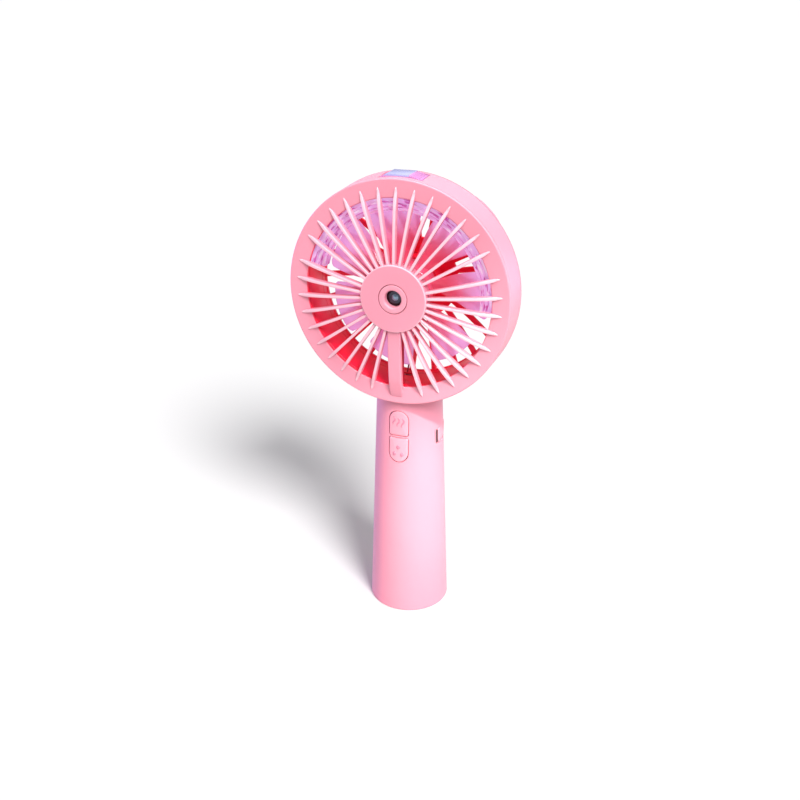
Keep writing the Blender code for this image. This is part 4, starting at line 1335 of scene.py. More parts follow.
# ------------------------------------------------------------------ body
@dataclass
class Keys:
    """The capsule of two keys on the handle's front, and the outlines that cut their openings."""

    width: float = 0.0094
    height: float = 0.0265
    middle_z: float = 0.09835
    web: float = 0.0013
    corner: float = 0.0010
    gap: float = 0.0004
    proud: float = 0.00018

    def outline(self, top: bool, grow: float) -> list[Pair]:
        """One half of the capsule, grown all round.

        Args:
            top: the upper key if true.
            grow: how far the outline moves outward.

        Returns:
            (x, z) points.
        """
        r = 0.5 * self.width + grow
        reach = 0.5 * self.height - 0.5 * self.width
        flat = 0.5 * self.web - grow
        c = self.corner + grow
        points: list[Pair] = []
        for side, first in ((-1, 180), (1, 270)):
            for k in range(7):
                a = math.radians(first + 15 * k)
                points.append((side * (r - c) + c * math.cos(a), flat + c + c * math.sin(a)))
        for k in range(33):
            a = math.pi * k / 32
            points.append((r * math.cos(a), reach + r * math.sin(a)))
        sign = 1.0 if top else -1.0
        return [(x, self.middle_z + sign * z) for x, z in points]

    def on_handle(self, x: float, z: float, out: float) -> Point:
        """A point over the handle's front.

        Args:
            x: place across.
            z: height.
            out: distance outside the handle's surface.

        Returns:
            The point.
        """
        r = S.handle_r(z) + out
        return (x, -math.sqrt(r * r - x * x), z)

    def key(self, top: bool) -> bpy.types.Object:
        """A key whose face follows the handle, with a rounded edge.

        Args:
            top: the upper key if true.

        Returns:
            The piece.
        """
        rings = [[(x, -(S.neck_r - S.wall) + 0.0012, z) for x, z in self.outline(top, 0.0)]]
        for grow, out in ((0.0, -0.0005), (0.0, self.proud - 0.00024), (-0.00004, self.proud - 0.00010),
                          (-0.00012, self.proud - 0.00003), (-0.00026, self.proud)):
            rings.append([self.on_handle(x, z, out) for x, z in self.outline(top, grow)])
        inner = self.outline(top, -0.00026)
        cz = sum(z for _, z in inner) / len(inner)
        for t in (0.8, 0.6, 0.4, 0.2, 0.02):
            rings.append([self.on_handle(x * t, cz + (z - cz) * t, self.proud) for x, z in inner])
        return loft("fan_key_cap" if top else "mist_key_cap", rings)

    def stroke(self, name: str, path: Sequence[Corner]) -> bpy.types.Object:
        """A raised stroke of a sign on a key.

        Args:
            name: name of the piece.
            path: (x, z, half width) along the stroke.

        Returns:
            The piece.
        """
        rings = []
        for i, (x, z, half) in enumerate(path):
            a, b = path[max(i - 1, 0)], path[min(i + 1, len(path) - 1)]
            along = Vector((b[0] - a[0], b[1] - a[1])).normalized()
            ring = []
            for k in range(10):
                t = 2 * math.pi * k / 10
                side = half * math.cos(t)
                ring.append(self.on_handle(x - along.y * side, z + along.x * side,
                                           self.proud + 0.75 * min(half, 0.0004) * math.sin(t)))
            rings.append(ring)
        return loft(name, rings)

    def wind_sign(self) -> bpy.types.Object:
        """Three curling strokes on the upper key.

        Returns:
            The piece.
        """
        strokes = []
        cz = self.middle_z + 0.0078
        for x0, lift, size in ((-0.0022, 0.0007, 0.85), (0.0, 0.0, 1.0), (0.0022, -0.0002, 1.0)):
            path = []
            for k in range(15):
                t = k / 14
                bend = 0.00062 * math.sin(2 * math.pi * (t - 0.1)) * size
                thick = 0.00044 * math.sin(math.pi * (0.06 + 0.88 * t)) ** 0.6
                path.append((x0 + bend, cz + lift + size * 0.0047 * (0.5 - t), thick))
            strokes.append(self.stroke("stroke", path))
        return gather("fan_key_sign", strokes)

    def drop_sign(self) -> bpy.types.Object:
        """Three droplets on the lower key.

        Returns:
            The piece.
        """
        drops = []
        cz = self.middle_z - 0.0072
        for x0, lift in ((0.0, 0.0020), (-0.0019, -0.0016), (0.0019, -0.0018)):
            path = []
            for k in range(13):
                t = k / 12
                thick = 0.00098 * math.sin(math.pi * t ** 1.5) ** 0.8 + 0.00003
                path.append((x0, cz + lift + 0.0013 - 0.0025 * t, thick))
            drops.append(self.stroke("drop", path))
        return gather("mist_key_sign", drops)

    def build(self) -> None:
        """Builds and dresses the keys and their signs."""
        dress(self.key(True), Body.FAN_KEY, PALE, ("fan_button",))
        dress(self.wind_sign(), Body.FAN_KEY, SIGN)
        dress(self.key(False), Body.MIST_KEY, PALE, ("mist_button",))
        dress(self.drop_sign(), Body.MIST_KEY, SIGN)


@dataclass
class Port:
    """Covered charging port on the handle's right side."""

    z: float = 0.0960
    wide: float = 0.0122
    high: float = 0.0082
    floor_x: float = 0.01513
    gap: float = 0.00038
    notch: float = 0.0017

    def outline(self, wide: float, high: float, corner: float, shift: float = 0.0) -> list[Pair]:
        """A rounded rectangle over the port.

        Args:
            wide: size along Y.
            high: size along Z.
            corner: corner radius.
            shift: how far the front end moves back.

        Returns:
            (y, z) points.
        """
        points = []
        for cy, cz, first in ((1, 1, 0), (-1, 1, 90), (-1, -1, 180), (1, -1, 270)):
            for k in range(7):
                a = math.radians(first + 15 * k)
                y = cy * (0.5 * wide - corner) + corner * math.cos(a)
                points.append((y + (shift if cy < 0 else 0.0), self.z + cz * (0.5 * high - corner)
                               + corner * math.sin(a)))
        return points

    def on_side(self, y: float, z: float, out: float) -> Point:
        """A point over the handle's right side.

        Args:
            y: place along Y.
            z: height.
            out: distance outside the handle's surface.

        Returns:
            The point.
        """
        r = S.handle_r(z) + out
        return (math.sqrt(r * r - y * y), y, z)

    def lid(self) -> bpy.types.Object:
        """Soft lid level with the handle, cut short at its front end to show the dark slot.

        Returns:
            The piece.
        """
        w, h = self.wide - 2 * self.gap, self.high - 2 * self.gap
        rings = [[(self.floor_x + S.gap, y, z) for y, z in self.outline(w, h, 0.0013, self.notch)]]
        for inset, out in ((0.0, -0.00045), (0.00004, -0.00026), (0.00014, -0.00014), (0.0003, -0.0001)):
            rings.append([self.on_side(y, z, out) for y, z in
                          self.outline(w - 2 * inset, h - 2 * inset, 0.0013 - inset, self.notch)])
        for t in (0.8, 0.6, 0.4, 0.2, 0.02):
            flat = self.outline(w - 0.0006, h - 0.0006, 0.0010, self.notch)
            rings.append([self.on_side(y * t + 0.5 * self.notch * (1 - t), self.z + (z - self.z) * t, -0.0001)
                          for y, z in flat])
        return loft("port_lid", rings)

    def slot(self) -> bpy.types.Object:
        """A dark sheet at the bottom of the notch in front of the lid, painted shade standing in for the shadowed gap.

        Returns:
            The piece.
        """
        y0 = -0.5 * self.wide + 0.00012
        flat = [(y0, -0.0032), (y0 + 0.0019, -0.0032), (y0 + 0.0019, 0.0032), (y0, 0.0032)]
        return loft("port_slot", [[(self.floor_x + 0.0001, y, self.z + z) for y, z in flat],
                                  [self.on_side(y, self.z + z, -0.00014) for y, z in flat]])

    def build(self) -> None:
        """Builds and dresses the lid."""
        dress(self.slot(), Body.HOUSING, SLOT_SHADE)
        dress(self.lid(), Body.PORT, PALE, ("port_cover",))


@dataclass
class BodyShell:
    """Side band of the head and the tapered handle, in one moulding."""

    keys: Keys
    port: Port
    duct_out: float = 0.0452
    tank_y: float = -0.0162
    tank_depth: float = 0.0092
    tank_span: Pair = (-76.0, 97.0)
    flap_x: Pair = (-0.0095, 0.0103)
    flap_y: Pair = (-0.0147, -0.0035)
    shoulder: float = 0.0125
    boss_r: float = 0.0031

    def band(self) -> bpy.types.Object:
        """Outer band, rear web and duct wall.

        Returns:
            The solid.
        """
        front = S.rim_y + 0.0002 + S.gap
        web = S.band_rear - S.wall
        profile = round_corners([
            (S.head_r, front, 0.0001), (S.head_r + 0.0005, S.band_rear, 0.0003), (S.open_r, S.band_rear, 0.0),
            (S.open_r, self.tank_y, 0.0003), (self.duct_out, self.tank_y, 0.0003), (self.duct_out, web, 0.0),
            (S.band_in, web, 0.0), (S.band_in, front, 0.0)], 3)
        return sweep("shell_body", profile, around, 240)

    def cone(self, name: str, inset: float, low: float, high: float, base: float = 0.0) -> bpy.types.Object:
        """A tapered column, offset inward from the handle's outside.

        Args:
            name: name of the solid.
            inset: distance inside the handle's surface.
            low: lowest z.
            high: highest z.
            base: rounding at the foot.

        Returns:
            The solid.
        """
        heights = [(low, base)] if base else [(low, 0.0)]
        if base:
            heights += [(low + base * (1 - math.cos(a)), base * (1 - math.sin(a)))
                        for a in (0.3, 0.6, 0.95, 1.3, 0.5 * math.pi)]
        heights += [(low + (high - low) * k / 6, 0.0) for k in range(1, 7)]
        return loft(name, [[upright(S.handle_r(z) - inset - cut, 2.5 * i + 1.25, z) for i in range(144)]
                           for z, cut in heights])

    def behind(self, name: str, drop: float, inset: float) -> bpy.types.Object:
        """Everything above the rounded shoulder that closes the handle's top behind the band.

        Args:
            name: name of the solid.
            drop: how far below the neck the shoulder starts.
            inset: distance inside the outside surface.

        Returns:
            The solid.
        """
        low = S.neck_z - drop
        y0 = S.band_rear - 0.0002 - 0.5 * inset
        reach = S.neck_r + 0.0002 - inset - y0
        curve = []
        for k in range(25):
            a = math.radians(3.75 * k)
            curve.append((y0 + reach * math.sin(a), low - self.shoulder * (1.0 - math.cos(a))))
        return plate(name, curve + [(0.030, low - self.shoulder), (0.030, S.head_z), (y0, S.head_z)], "x",
                     -0.030, 0.030)

    def build(self) -> None:
        """Builds and dresses the shell."""
        column = self.cone("column", 0.0, 0.0, S.neck_z + 0.008, 0.0007)
        seat = sweep("seat", [(0.0, -0.030), (S.head_r - 0.5 * S.wall, -0.030),
                              (S.head_r - 0.5 * S.wall, S.band_rear - 0.0004), (0.0, S.band_rear - 0.0004)],
                     around, 240)
        column = combine(column, [seat, self.behind("shoulder", 0.0008, 0.0)], Cut.TAKE)
        shell = combine(self.band(), [column], Cut.JOIN)
        bore = combine(self.cone("bore", S.wall, -0.002, S.neck_z - 0.0022),
                       [self.behind("bore_top", 0.0008 + S.wall, S.wall)], Cut.TAKE)
        tank_bay = sweep("tank_bay", [
            (S.open_r - 0.002, S.rim_y - 0.002), (self.duct_out + 0.0004, S.rim_y - 0.002),
            (self.duct_out + 0.0004, self.tank_y + self.tank_depth + 0.0005),
            (S.open_r - 0.002, self.tank_y + self.tank_depth + 0.0005)],
            around, 120, self.tank_span[0] - 1.5, self.tank_span[1] + 1.5)
        web = S.band_rear - S.wall
        cuts = [bore, tank_bay,
                block("wire_way", (-0.0045, 0.0045), (S.rim_y + 0.0048, web - 0.0008),
                      (S.neck_z - 0.008, S.head_z - S.band_in + 0.0015)),
                block("foot_gate", (-0.0042, 0.0044), (S.rim_y - 0.001, S.rim_y + 0.0076),
                      (S.head_z - self.duct_out - 0.0008, S.head_z - S.open_r + 0.0016)),
                block("rear_gate", (-0.0026, 0.0026), (web - 0.0012, S.band_rear + 0.001),
                      (S.head_z - 0.0490, S.head_z - S.open_r + 0.0016)),
                block("flap_bay", (self.flap_x[0] - S.gap, self.flap_x[1] + S.gap),
                      (self.flap_y[0] - S.gap, self.flap_y[1] + S.gap), (S.head_z + 0.042, S.head_z + 0.0565))]
        shell = combine(shell, cuts, Cut.TAKE)
        boss_x = S.base_r - S.wall + 0.0004 - self.boss_r
        posts = [sweep("boss", [(0.0, 0.0025), (self.boss_r, 0.0025), (self.boss_r, 0.011), (0.0, 0.011)],
                       lambda r, a, h, s=s: (s * boss_x + r * math.cos(math.radians(a)),
                                             r * math.sin(math.radians(a)), h), 32) for s in (-1, 1)]
        posts.append(plate("pad", self.port.outline(0.0136, 0.0100, 0.0022), "x",
                           self.port.floor_x - 0.0022, self.port.floor_x + 0.0004))
        shell = combine(shell, posts, Cut.JOIN)
        cuts = [plate("key_hole", self.keys.outline(top, self.keys.gap), "y", -0.030, -0.005) for top in (True, False)]
        cuts += [sweep("pilot", [(0.0, 0.0), (0.0012, 0.0), (0.0012, 0.0095), (0.0, 0.0095)],
                       lambda r, a, h, s=s: (s * boss_x + r * math.cos(math.radians(a)),
                                             r * math.sin(math.radians(a)), h), 20) for s in (-1, 1)]
        for angle in (45.0, 120.0, 240.0, 315.0):
            x, _, z = around(0.0480, angle, 0.0)
            cuts.append(sweep("pilot", [(0.0, web - 0.001), (0.0012, web - 0.001), (0.0012, S.band_rear + 0.001),
                                        (0.0, S.band_rear + 0.001)],
                              lambda r, a, h, x=x, z=z: (x + r * math.cos(math.radians(a)), h,
                                                         z + r * math.sin(math.radians(a))), 20))
        cuts.append(plate("port_bay", self.port.outline(self.port.wide, self.port.high, 0.0016), "x",
                          self.port.floor_x, 0.030))
        shell = combine(shell, cuts, Cut.TAKE)
        shell = combine(shell, [plate("port_hole", self.port.outline(0.0096, 0.0039, 0.0017), "x", 0.008, 0.030)],
                        Cut.TAKE)
        patch = sweep("gate_patch", round_corners([
            (S.open_r + 0.0001, -0.0161, 0.0002), (S.open_r + 0.0006, -0.0161, 0.0), (S.open_r + 0.0006, -0.0096, 0.0),
            (S.open_r + 0.0001, -0.0096, 0.0002)], 2), around, 16, 174.2, 185.6)
        dress(patch, Body.HOUSING, PINK)
        shell.name = shell.data.name = "shell_body"
        true_normals(shell, (handle_normal, band_normal))
        dress(shell, Body.HOUSING, PINK, ("body_shell",))


@dataclass
class RearCover:
    """Domed cover behind the rotor: a rim, radial bars and a solid middle with the motor's cup."""

    bars: int = 24
    bar_w: float = 0.0026
    wall: float = 0.0018
    open_from: float = 0.0195
    open_to: float = 0.0436
    cup_r: float = 0.0102
    cup_front: float = 0.0055
    cup_floor: float = 0.0122

    def rim(self) -> bpy.types.Object:
        """Outer part of the dome.

        Returns:
            The piece.
        """
        radii = [self.open_to + (S.dome_r - self.open_to) * k / 10 for k in range(11)]
        outer: list[Corner] = [(r, S.dome_y(r), 0.0) for r in radii[:-1]]
        outer[0] = (outer[0][0], outer[0][1], 0.0005)
        outer += [(S.dome_r - 0.0001, S.band_rear + S.gap + 0.0005, 0.0002), (S.dome_r, S.band_rear + S.gap, 0.0)]
        inner = [(S.open_r, S.band_rear + S.gap, 0.0), (S.open_r, S.dome_y(S.open_r) - self.wall, 0.0),
                 (self.open_to, S.dome_y(self.open_to) - self.wall, 0.0004)]
        return sweep("cover_rim", round_corners(outer + inner, 4), around, 224)

    def middle(self) -> bpy.types.Object:
        """Solid middle of the dome, with counterbores for the motor's screws.

        Returns:
            The piece.
        """
        edge = self.open_from + 0.0002
        outer: list[Corner] = [(edge * k / 10, S.dome_y(edge * k / 10), 0.0) for k in range(10)]
        outer.append((edge, S.dome_y(edge), 0.0006))
        out = self.cup_r + 0.0014
        inner = [(edge, S.dome_y(edge) - self.wall, 0.0005), (out, S.dome_y(out) - self.wall, 0.0004),
                 (out, self.cup_front, 0.0003), (self.cup_r, self.cup_front, 0.0003), (self.cup_r, self.cup_floor, 0.0),
                 (0.0, self.cup_floor, 0.0)]
        disc = sweep("cover_middle", round_corners(outer + inner, 4), around, 96)
        cuts = []
        top = S.dome_y(0.0)
        for s in (-1, 1):
            cuts.append(sweep("bore", [(0.0, self.cup_floor - 0.001), (0.0012, self.cup_floor - 0.001),
                                       (0.0012, top - 0.0016), (0.0019, top - 0.0016), (0.0019, top + 0.001),
                                       (0.0, top + 0.001)],
                              lambda r, a, h, s=s: (s * 0.0052 + r * math.cos(math.radians(a)), h,
                                                    S.head_z + r * math.sin(math.radians(a))), 28))
        return combine(disc, cuts, Cut.TAKE)

    def bar(self) -> bpy.types.Object:
        """All the radial bars.

        Returns:
            The piece.
        """
        rings = []
        for k in range(15):
            r = self.open_from - 0.0012 + (self.open_to - self.open_from + 0.0024) * k / 14
            back, front = S.dome_y(r) - 0.00006, S.dome_y(r) - self.wall + 0.00006
            half = 0.5 * self.bar_w
            outline = round_corners([(-half, front, 0.0005), (half, front, 0.0005), (half, back, 0.0005),
                                     (-half, back, 0.0005)], 3)
            rings.append([(u, v, r) for u, v in outline])
        return RadialArray.spread(loft("cover_bars", rings), PINK, self.bars, 360.0 / self.bars,
                                  180.0 / self.bars)

    def grip(self) -> bpy.types.Object:
        """Low thumb bump on the rim, with three short ridges.

        Returns:
            The piece.
        """
        rings = []
        y0 = S.band_rear + S.gap
        for k in range(37):
            t = k / 36
            a = 34.0 + 18.0 * t
            swell = math.sin(math.pi * t) ** 0.5 if 0 < t < 1 else 0.0
            dip = 0.00022 * max(0.0, math.cos(2 * math.pi * 3.0 * (t - 0.5)) - 0.55) if 0.08 < t < 0.92 else 0.0
            lift = min((0.00058 * swell), 0.00058) - dip
            outline = round_corners([
                (S.dome_r - 0.0010, y0, 0.0), (S.dome_r + lift - 0.0006, y0, 0.0002),
                (S.dome_r + lift - 0.0007, y0 + 0.0023, 0.0006), (S.dome_r - 0.0018, y0 + 0.0036, 0.0005),
                (S.dome_r - 0.0035, y0 + 0.0015, 0.0)], 4)
            rings.append([around(r, a, y) for r, y in outline])
        return loft("cover_grip", rings)

    def build(self) -> None:
        """Builds and dresses the cover's pieces."""
        for n, piece in enumerate((self.rim(), self.middle(), self.bar(), self.grip())):
            dress(piece, Body.HOUSING, PINK, ("rear_cover",) if n == 0 else ())


# ------------------------------------------------------------------ water
@dataclass
class WaterTank:
    """Curved stepped tank in the head, and its filler flap."""

    inner_r: float = 0.0376
    outer_r: float = 0.0494
    front_y: float = -0.0162
    depth: float = 0.0092
    span: Pair = (-76.0, 97.0)
    bore: float = 0.0032
    fill_x: float = 0.0004
    flap_x: Pair = (-0.0095, 0.0103)
    flap_y: Pair = (-0.0147, -0.0035)
    hinge: Pair = (-0.0084, 0.22061)

    def tank(self) -> bpy.types.Object:
        """The tank's body with its filler neck.

        Returns:
            The piece.
        """
        y0, y1, r = self.front_y, self.front_y + self.depth, self.inner_r
        profile = round_corners([
            (r, y0 + 0.0018, 0.0004), (r + 0.0018, y0 + 0.0018, 0.0003), (r + 0.0018, y0 + 0.0009, 0.0003),
            (r + 0.0040, y0 + 0.0009, 0.0003), (r + 0.0040, y0, 0.0004), (self.outer_r, y0, 0.0005),
            (self.outer_r, y1, 0.0006), (r + 0.0022, y1, 0.0006), (r, y1 - 0.0016, 0.0004)], 3)
        tank = sweep("tank_body", profile, around, 150, self.span[0], self.span[1])
        wall = 0.0011
        hollow = sweep("hollow", [
            (r + wall, y0 + 0.0018 + wall), (r + 0.0018 + wall, y0 + 0.0018 + wall),
            (r + 0.0018 + wall, y0 + 0.0009 + wall), (r + 0.0040 + wall, y0 + 0.0009 + wall),
            (r + 0.0040 + wall, y0 + wall), (self.outer_r - wall, y0 + wall), (self.outer_r - wall, y1 - wall),
            (r + 0.0022 + wall, y1 - wall), (r + wall, y1 - 0.0016 - wall)], around, 150,
            self.span[0] + 1.3, self.span[1] - 1.3)
        y = 0.5 * (self.flap_y[0] + self.flap_y[1]) - 0.0006
        neck = sweep("neck", [(0.0, self.outer_r - 0.0045), (self.bore, self.outer_r - 0.0045),
                              (self.bore, self.outer_r + 0.002), (0.0, self.outer_r + 0.002)],
                     lambda rad, a, h: (self.fill_x + rad * math.cos(math.radians(a)),
                                        y + rad * math.sin(math.radians(a)), S.head_z + h), 48)
        return combine(tank, [hollow, neck], Cut.TAKE)

    def flap(self) -> bpy.types.Object:
        """Flap with a flat top and a toothed pull at its right end.

        Returns:
            The piece.
        """
        hx, hz = self.hinge
        reach = 0.0011
        flat = S.head_z + S.head_r + 0.0010
        lid_r = self.outer_r + 0.0012
        right = self.flap_x[1]
        outline = [(hx + reach * math.cos(math.radians(a)), hz + reach * math.sin(math.radians(a)))
                   for a in range(97, 291, 15)]
        for k in range(9):
            x = hx + 0.0016 + (right - hx - 0.0016) * k / 8
            outline.append((x, S.head_z + math.sqrt(lid_r ** 2 - x * x)))
        edge = S.head_z + S.head_r
        outline += [(right, edge - 0.0009), (right - 0.0002, edge - 0.0005)]
        teeth = 5
        x1, x0 = right - 0.0006, 0.0049
        for k in range(teeth):
            for part, drop in ((0.0, 0.0), (0.38, 0.0), (0.5, 0.00042), (0.88, 0.00042)):
                x = x1 + (x0 - x1) * (k + part) / teeth
                level = edge - 0.0004 + (flat - edge + 0.0004) * (x1 - x) / (x1 - x0)
                outline.append((x, level - drop))
        outline += [(0.0047, flat), (hx + 0.0023, flat)]
        flap = plate("flap_lid", outline, "y", self.flap_y[0], self.flap_y[1])
        step = flap.modifiers.new("soft", "BEVEL")
        step.width, step.segments, step.limit_method, step.angle_limit = 0.00022, 2, "ANGLE", math.radians(40)
        return settle(bake(flap))

    def build(self) -> None:
        """Builds and dresses the tank and the flap."""
        dress(self.tank(), Body.HOUSING, LAVENDER, ("water_tank",))
        dress(self.flap(), Body.FLAP, LID, ("tank_cap",))


# ------------------------------------------------------------------ rotor
@dataclass
class Rotor:
    """Impeller with broad swept blades."""

    blades: int = 7
    phase: float = -17.0
    hub_r: float = 0.0115
    blade_r: float = 0.0390
    front: float = -0.0069
    depth: float = 0.0102

    def hub(self) -> bpy.types.Object:
        """Domed hub cup.

        Returns:
            The piece.
        """
        y0, y1, r = self.front, self.front + self.depth, self.hub_r
        profile = round_corners([
            (0.0, y0, 0.0), (0.0072, y0, 0.0015), (r, y0 + 0.0018, 0.0018), (r, y1, 0.0003), (r - 0.0011, y1, 0.0003),
            (r - 0.0011, y0 + 0.0030, 0.0006), (0.0030, y0 + 0.0018, 0.0), (0.0030, y0 + 0.0040, 0.0002),
            (0.0013, y0 + 0.0040, 0.0), (0.0013, y0 + 0.0010, 0.0), (0.0, y0 + 0.0010, 0.0)], 5)
        return sweep("rotor_hub", profile, around, 96)

    def blade_ring(self) -> bpy.types.Object:
        """All the blades.

        Returns:
            The piece.
        """
        y0, y1 = self.front + 0.0026, self.front + self.depth - 0.0002
        stations = [(self.hub_r - 0.0006, 17.0, 0.94), (0.018, 18.0, 0.98), (0.024, 19.0, 0.94), (0.029, 19.5, 0.88),
                    (0.0365, 19.0, 0.78), (0.0382, 18.0, 0.71), (self.blade_r, 15.5, 0.62)]
        rings = []
        for r, half, twist in smooth_between(stations, 5):
            way = (r - self.hub_r) / (self.blade_r - self.hub_r)
            thick = 0.0016 - 0.0007 * way
            front, back = [], []
            for k in range(19):
                t = 2.0 * k / 18 - 1.0
                y = 0.5 * (y0 + y1) + 0.5 * (y1 - y0) * twist * (t * 0.9 + 0.1 * t ** 3)
                camber = 0.0007 * (1.0 - t * t)
                edge = thick * (0.22 + 0.78 * (1.0 - t * t))
                a = math.radians(7.0 * way + half * t)
                front.append((r * math.sin(a), y - camber - 0.5 * edge, r * math.cos(a)))
                back.append((r * math.sin(a), y - camber + 0.5 * edge, r * math.cos(a)))
            rings.append(front + back[::-1])
        middle = 0.5 * (self.blades - 1) * 360.0 / self.blades
        return RadialArray.spread(loft("rotor_blades", rings), LILAC, self.blades, 360.0 / self.blades,
                                  self.phase + middle)

    def build(self) -> None:
        """Builds and dresses the impeller."""
        dress(self.hub(), Body.ROTOR, LILAC, ("impeller",))
        dress(self.blade_ring(), Body.ROTOR, LILAC)


# ------------------------------------------------------------------ carried-over nodes
CARRIED: dict[str, Finish] = {
    "hub_plate": PINK, "base_cap": PINK, "mist_seal": SEALANT, "cap_plug": SEALANT, "feed_tube": ROSE_LEAD,
    "mist_wick": COTTON, "motor_can": ZINC, "motor_bell": NYLON, "motor_magnet": FERRITE, "motor_winding": Winding(),
    "motor_shaft": STEEL, "bush_front": BRASS, "bush_rear": BRASS, "battery_cell": Sleeve(), "cell_tab_top": STEEL,
    "cell_tab_bottom": STEEL, "circuit_board": Circuit(), "port_board": Circuit(), "charge_chip": NYLON,
    "mist_driver": FERRITE, "fan_switch": NYLON, "mist_switch": NYLON, "usb_shell": STEEL, "usb_tongue": NYLON,
    "battery_lead_red": RED_LEAD, "battery_lead_black": BLACK_LEAD, "motor_lead_red": RED_LEAD,
    "motor_lead_black": WINE_LEAD, "mist_lead": ROSE_LEAD,
}


def dress_carried() -> None:
    """Gives every CAD node that still shows its own material."""
    for name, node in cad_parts.items():
        if node.hide_render:
            continue
        finish = CARRIED.get(name, STEEL)
        node.data.materials.clear()
        node.data.materials.append(finish.material())
        LOG.info("%s: carried over as %s", name, finish.name)


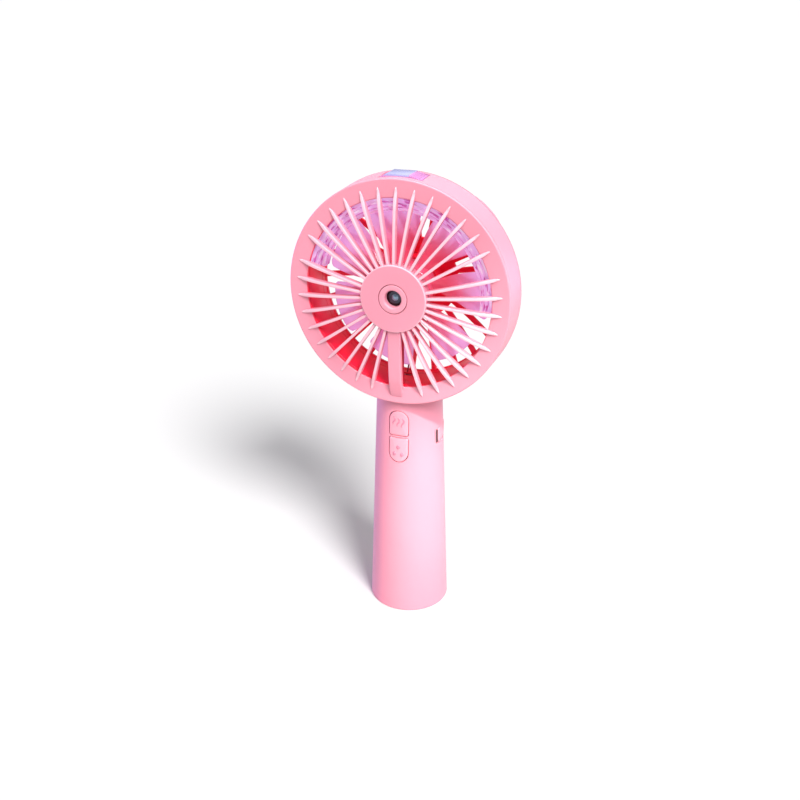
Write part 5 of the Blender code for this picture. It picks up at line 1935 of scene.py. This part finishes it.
# ------------------------------------------------------------------ studio
@dataclass
class Studio:
    """Pale floor, soft lights and the camera."""

    floor_size: float = 60.0
    camera_at: Point = (0.14215, -0.40481, 0.30465)
    azimuth: float = 19.99
    elevation: float = 24.32
    roll: float = -0.14
    lens: float = 43.245
    spared: Optional[bpy.types.Collection] = None

    def floor(self) -> None:
        """A plain pale floor."""
        h = 0.5 * self.floor_size
        edge = [(-h, -h, 0.0), (h, -h, 0.0), (h, h, 0.0), (-h, h, 0.0)]
        floor = new_object("studio_floor", edge, [(0, 1, 2, 3)])
        paint = bpy.data.materials.new("floor_white")
        paint.use_nodes = True
        shader = paint.node_tree.nodes["Principled BSDF"]
        shader.inputs["Base Color"].default_value = (0.93, 0.93, 0.935, 1.0)
        shader.inputs["Roughness"].default_value = 0.9
        shader.inputs["Specular IOR Level"].default_value = 0.1
        floor.data.materials.append(paint)
        floor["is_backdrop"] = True
        self.spared = bpy.data.collections.new("panels_spare")
        self.spared.objects.link(floor)
        self.spared.collection_objects[0].light_linking.link_state = "EXCLUDE"

    def sun(self, name: str, azimuth: float, elevation: float, strength: float, spread: float,
            colour: Colour) -> None:
        """A distant soft light.

        Args:
            name: name of the light.
            azimuth: where it comes from, degrees to the right of the front.
            elevation: degrees above the floor.
            strength: its strength.
            spread: its angular size in degrees.
            colour: its colour.
        """
        data = bpy.data.lights.new(name, "SUN")
        data.energy, data.angle, data.color = strength, math.radians(spread), colour
        obj = bpy.data.objects.new(name, data)
        a, e = math.radians(azimuth), math.radians(elevation)
        back = Vector((math.sin(a) * math.cos(e), -math.cos(a) * math.cos(e), math.sin(e)))
        obj.rotation_euler = back.to_track_quat("Z", "Y").to_euler()
        bpy.context.scene.collection.objects.link(obj)

    def hang(self, name: str, data: bpy.types.Light, at: Point, aim: Point) -> None:
        """Places a light that faces a point and leaves the floor alone.

        Args:
            name: name of the light.
            data: the light.
            at: its place.
            aim: the point it faces.
        """
        obj = bpy.data.objects.new(name, data)
        obj.location = at
        obj.rotation_euler = (Vector(at) - Vector(aim)).to_track_quat("Z", "Y").to_euler()
        bpy.context.scene.collection.objects.link(obj)
        obj.light_linking.receiver_collection = self.spared

    def panel(self, name: str, at: Point, aim: Point, size: Pair, power: float, colour: Colour) -> None:
        """A rectangular soft light.

        Args:
            name: name of the light.
            at: its place.
            aim: the point it faces.
            size: width and height.
            power: its power in watts.
            colour: its colour.
        """
        data = bpy.data.lights.new(name, "AREA")
        data.shape, data.size, data.size_y = "RECTANGLE", size[0], size[1]
        data.energy, data.color = power, colour
        self.hang(name, data, at, aim)

    def spot(self, name: str, at: Point, aim: Point, cone: float, power: float, colour: Colour) -> None:
        """A narrow soft light.

        Args:
            name: name of the light.
            at: its place.
            aim: the point it faces.
            cone: width of its beam in degrees.
            power: its power in watts.
            colour: its colour.
        """
        data = bpy.data.lights.new(name, "SPOT")
        data.spot_size, data.spot_blend, data.shadow_soft_size = math.radians(cone), 0.35, 0.03
        data.energy, data.color = power, colour
        self.hang(name, data, at, aim)

    def world(self) -> None:
        """Even surroundings: white to the camera and through clear plastic, dimmer as light."""
        world = bpy.data.worlds.new("studio")
        world.use_nodes = True
        bpy.context.scene.world = world
        g = Graph(world.node_tree)
        fill = world.node_tree.nodes["Background"]
        fill.inputs["Color"].default_value = (0.94, 0.94, 0.97, 1.0)
        fill.inputs["Strength"].default_value = 0.42
        white = g.add("ShaderNodeBackground", Color=(1.0, 1.0, 1.0), Strength=1.0)
        ray = g.add("ShaderNodeLightPath")
        mix = g.add("ShaderNodeMixShader")
        seen = g.math("MAXIMUM", ray.outputs["Is Camera Ray"], ray.outputs["Is Transmission Ray"])
        g.feed(mix.inputs[0], seen)
        g.feed(mix.inputs[1], fill.outputs[0])
        g.feed(mix.inputs[2], white.outputs[0])
        g.feed(world.node_tree.nodes["World Output"].inputs["Surface"], mix.outputs[0])

    def camera(self) -> None:
        """The camera at the fitted viewpoint."""
        data = bpy.data.cameras.new("camera")
        data.lens, data.sensor_width = self.lens, 36.0
        data.clip_start, data.clip_end = 0.01, 100.0
        obj = bpy.data.objects.new("camera", data)
        a, e, roll = (math.radians(v) for v in (self.azimuth, self.elevation, self.roll))
        back = Vector((math.sin(a) * math.cos(e), -math.cos(a) * math.cos(e), math.sin(e)))
        right = Vector((math.cos(a), math.sin(a), 0.0))
        up = back.cross(right)
        turned_right = math.cos(roll) * right + math.sin(roll) * up
        turned_up = -math.sin(roll) * right + math.cos(roll) * up
        obj.matrix_world = Matrix((
            (turned_right.x, turned_up.x, back.x, self.camera_at[0]),
            (turned_right.y, turned_up.y, back.y, self.camera_at[1]),
            (turned_right.z, turned_up.z, back.z, self.camera_at[2]), (0.0, 0.0, 0.0, 1.0)))
        bpy.context.scene.collection.objects.link(obj)
        bpy.context.scene.camera = obj

    def build(self) -> None:
        """Sets up the whole studio."""
        self.camera()
        self.floor()
        self.world()
        self.sun("key", 44.0, 41.0, 3.45, 20.0, (1.0, 0.99, 0.98))
        self.panel("right_panel", (0.85, 0.02, 0.42), (0.0, 0.0, 0.12), (0.4, 0.8), 0.8, (1.0, 1.0, 0.95))
        self.panel("low_panel", (0.45, 0.50, 0.06), (0.0, 0.0, 0.12), (0.4, 0.3), 0.8, (0.72, 0.50, 1.0))
        self.panel("left_panel", (-0.50, 0.10, 0.10), (0.0, 0.0, 0.08), (0.3, 0.4), 2.4, (0.18, 0.10, 1.0))
        self.spot("handle_spot", (0.425, -0.356, 0.754), (0.0, 0.0, 0.045), 6.2, 60.0, (1.0, 1.0, 0.84))
        self.panel("top_panel", (0.05, -0.10, 0.95), (0.0, 0.0, 0.15), (0.6, 0.6), 10.0, (1.0, 1.0, 0.95))
        view = bpy.context.scene.view_settings
        view.view_transform, view.look, view.exposure, view.gamma = "Standard", "None", 0.0, 1.0


def corners() -> list[list[float]]:
    """The shown object's box.

    Returns:
        Its lowest and highest corner.
    """
    return [[round(float(v), 6) for v in corner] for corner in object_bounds()]


def main() -> None:
    """Builds every sub-assembly and the studio."""
    logging.basicConfig(level=logging.INFO, format="%(name)s %(message)s")
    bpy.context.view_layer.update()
    Studio().build()
    keys, port = Keys(), Port()
    parts = (FrontGrille(), Nozzle(), BodyShell(keys, port), keys, port, RearCover(), WaterTank(), Rotor())
    for part in parts:
        LOG.info("building %s", type(part).__name__)
        part.build()
    dress_carried()


if __name__ == "__main__":
    main()
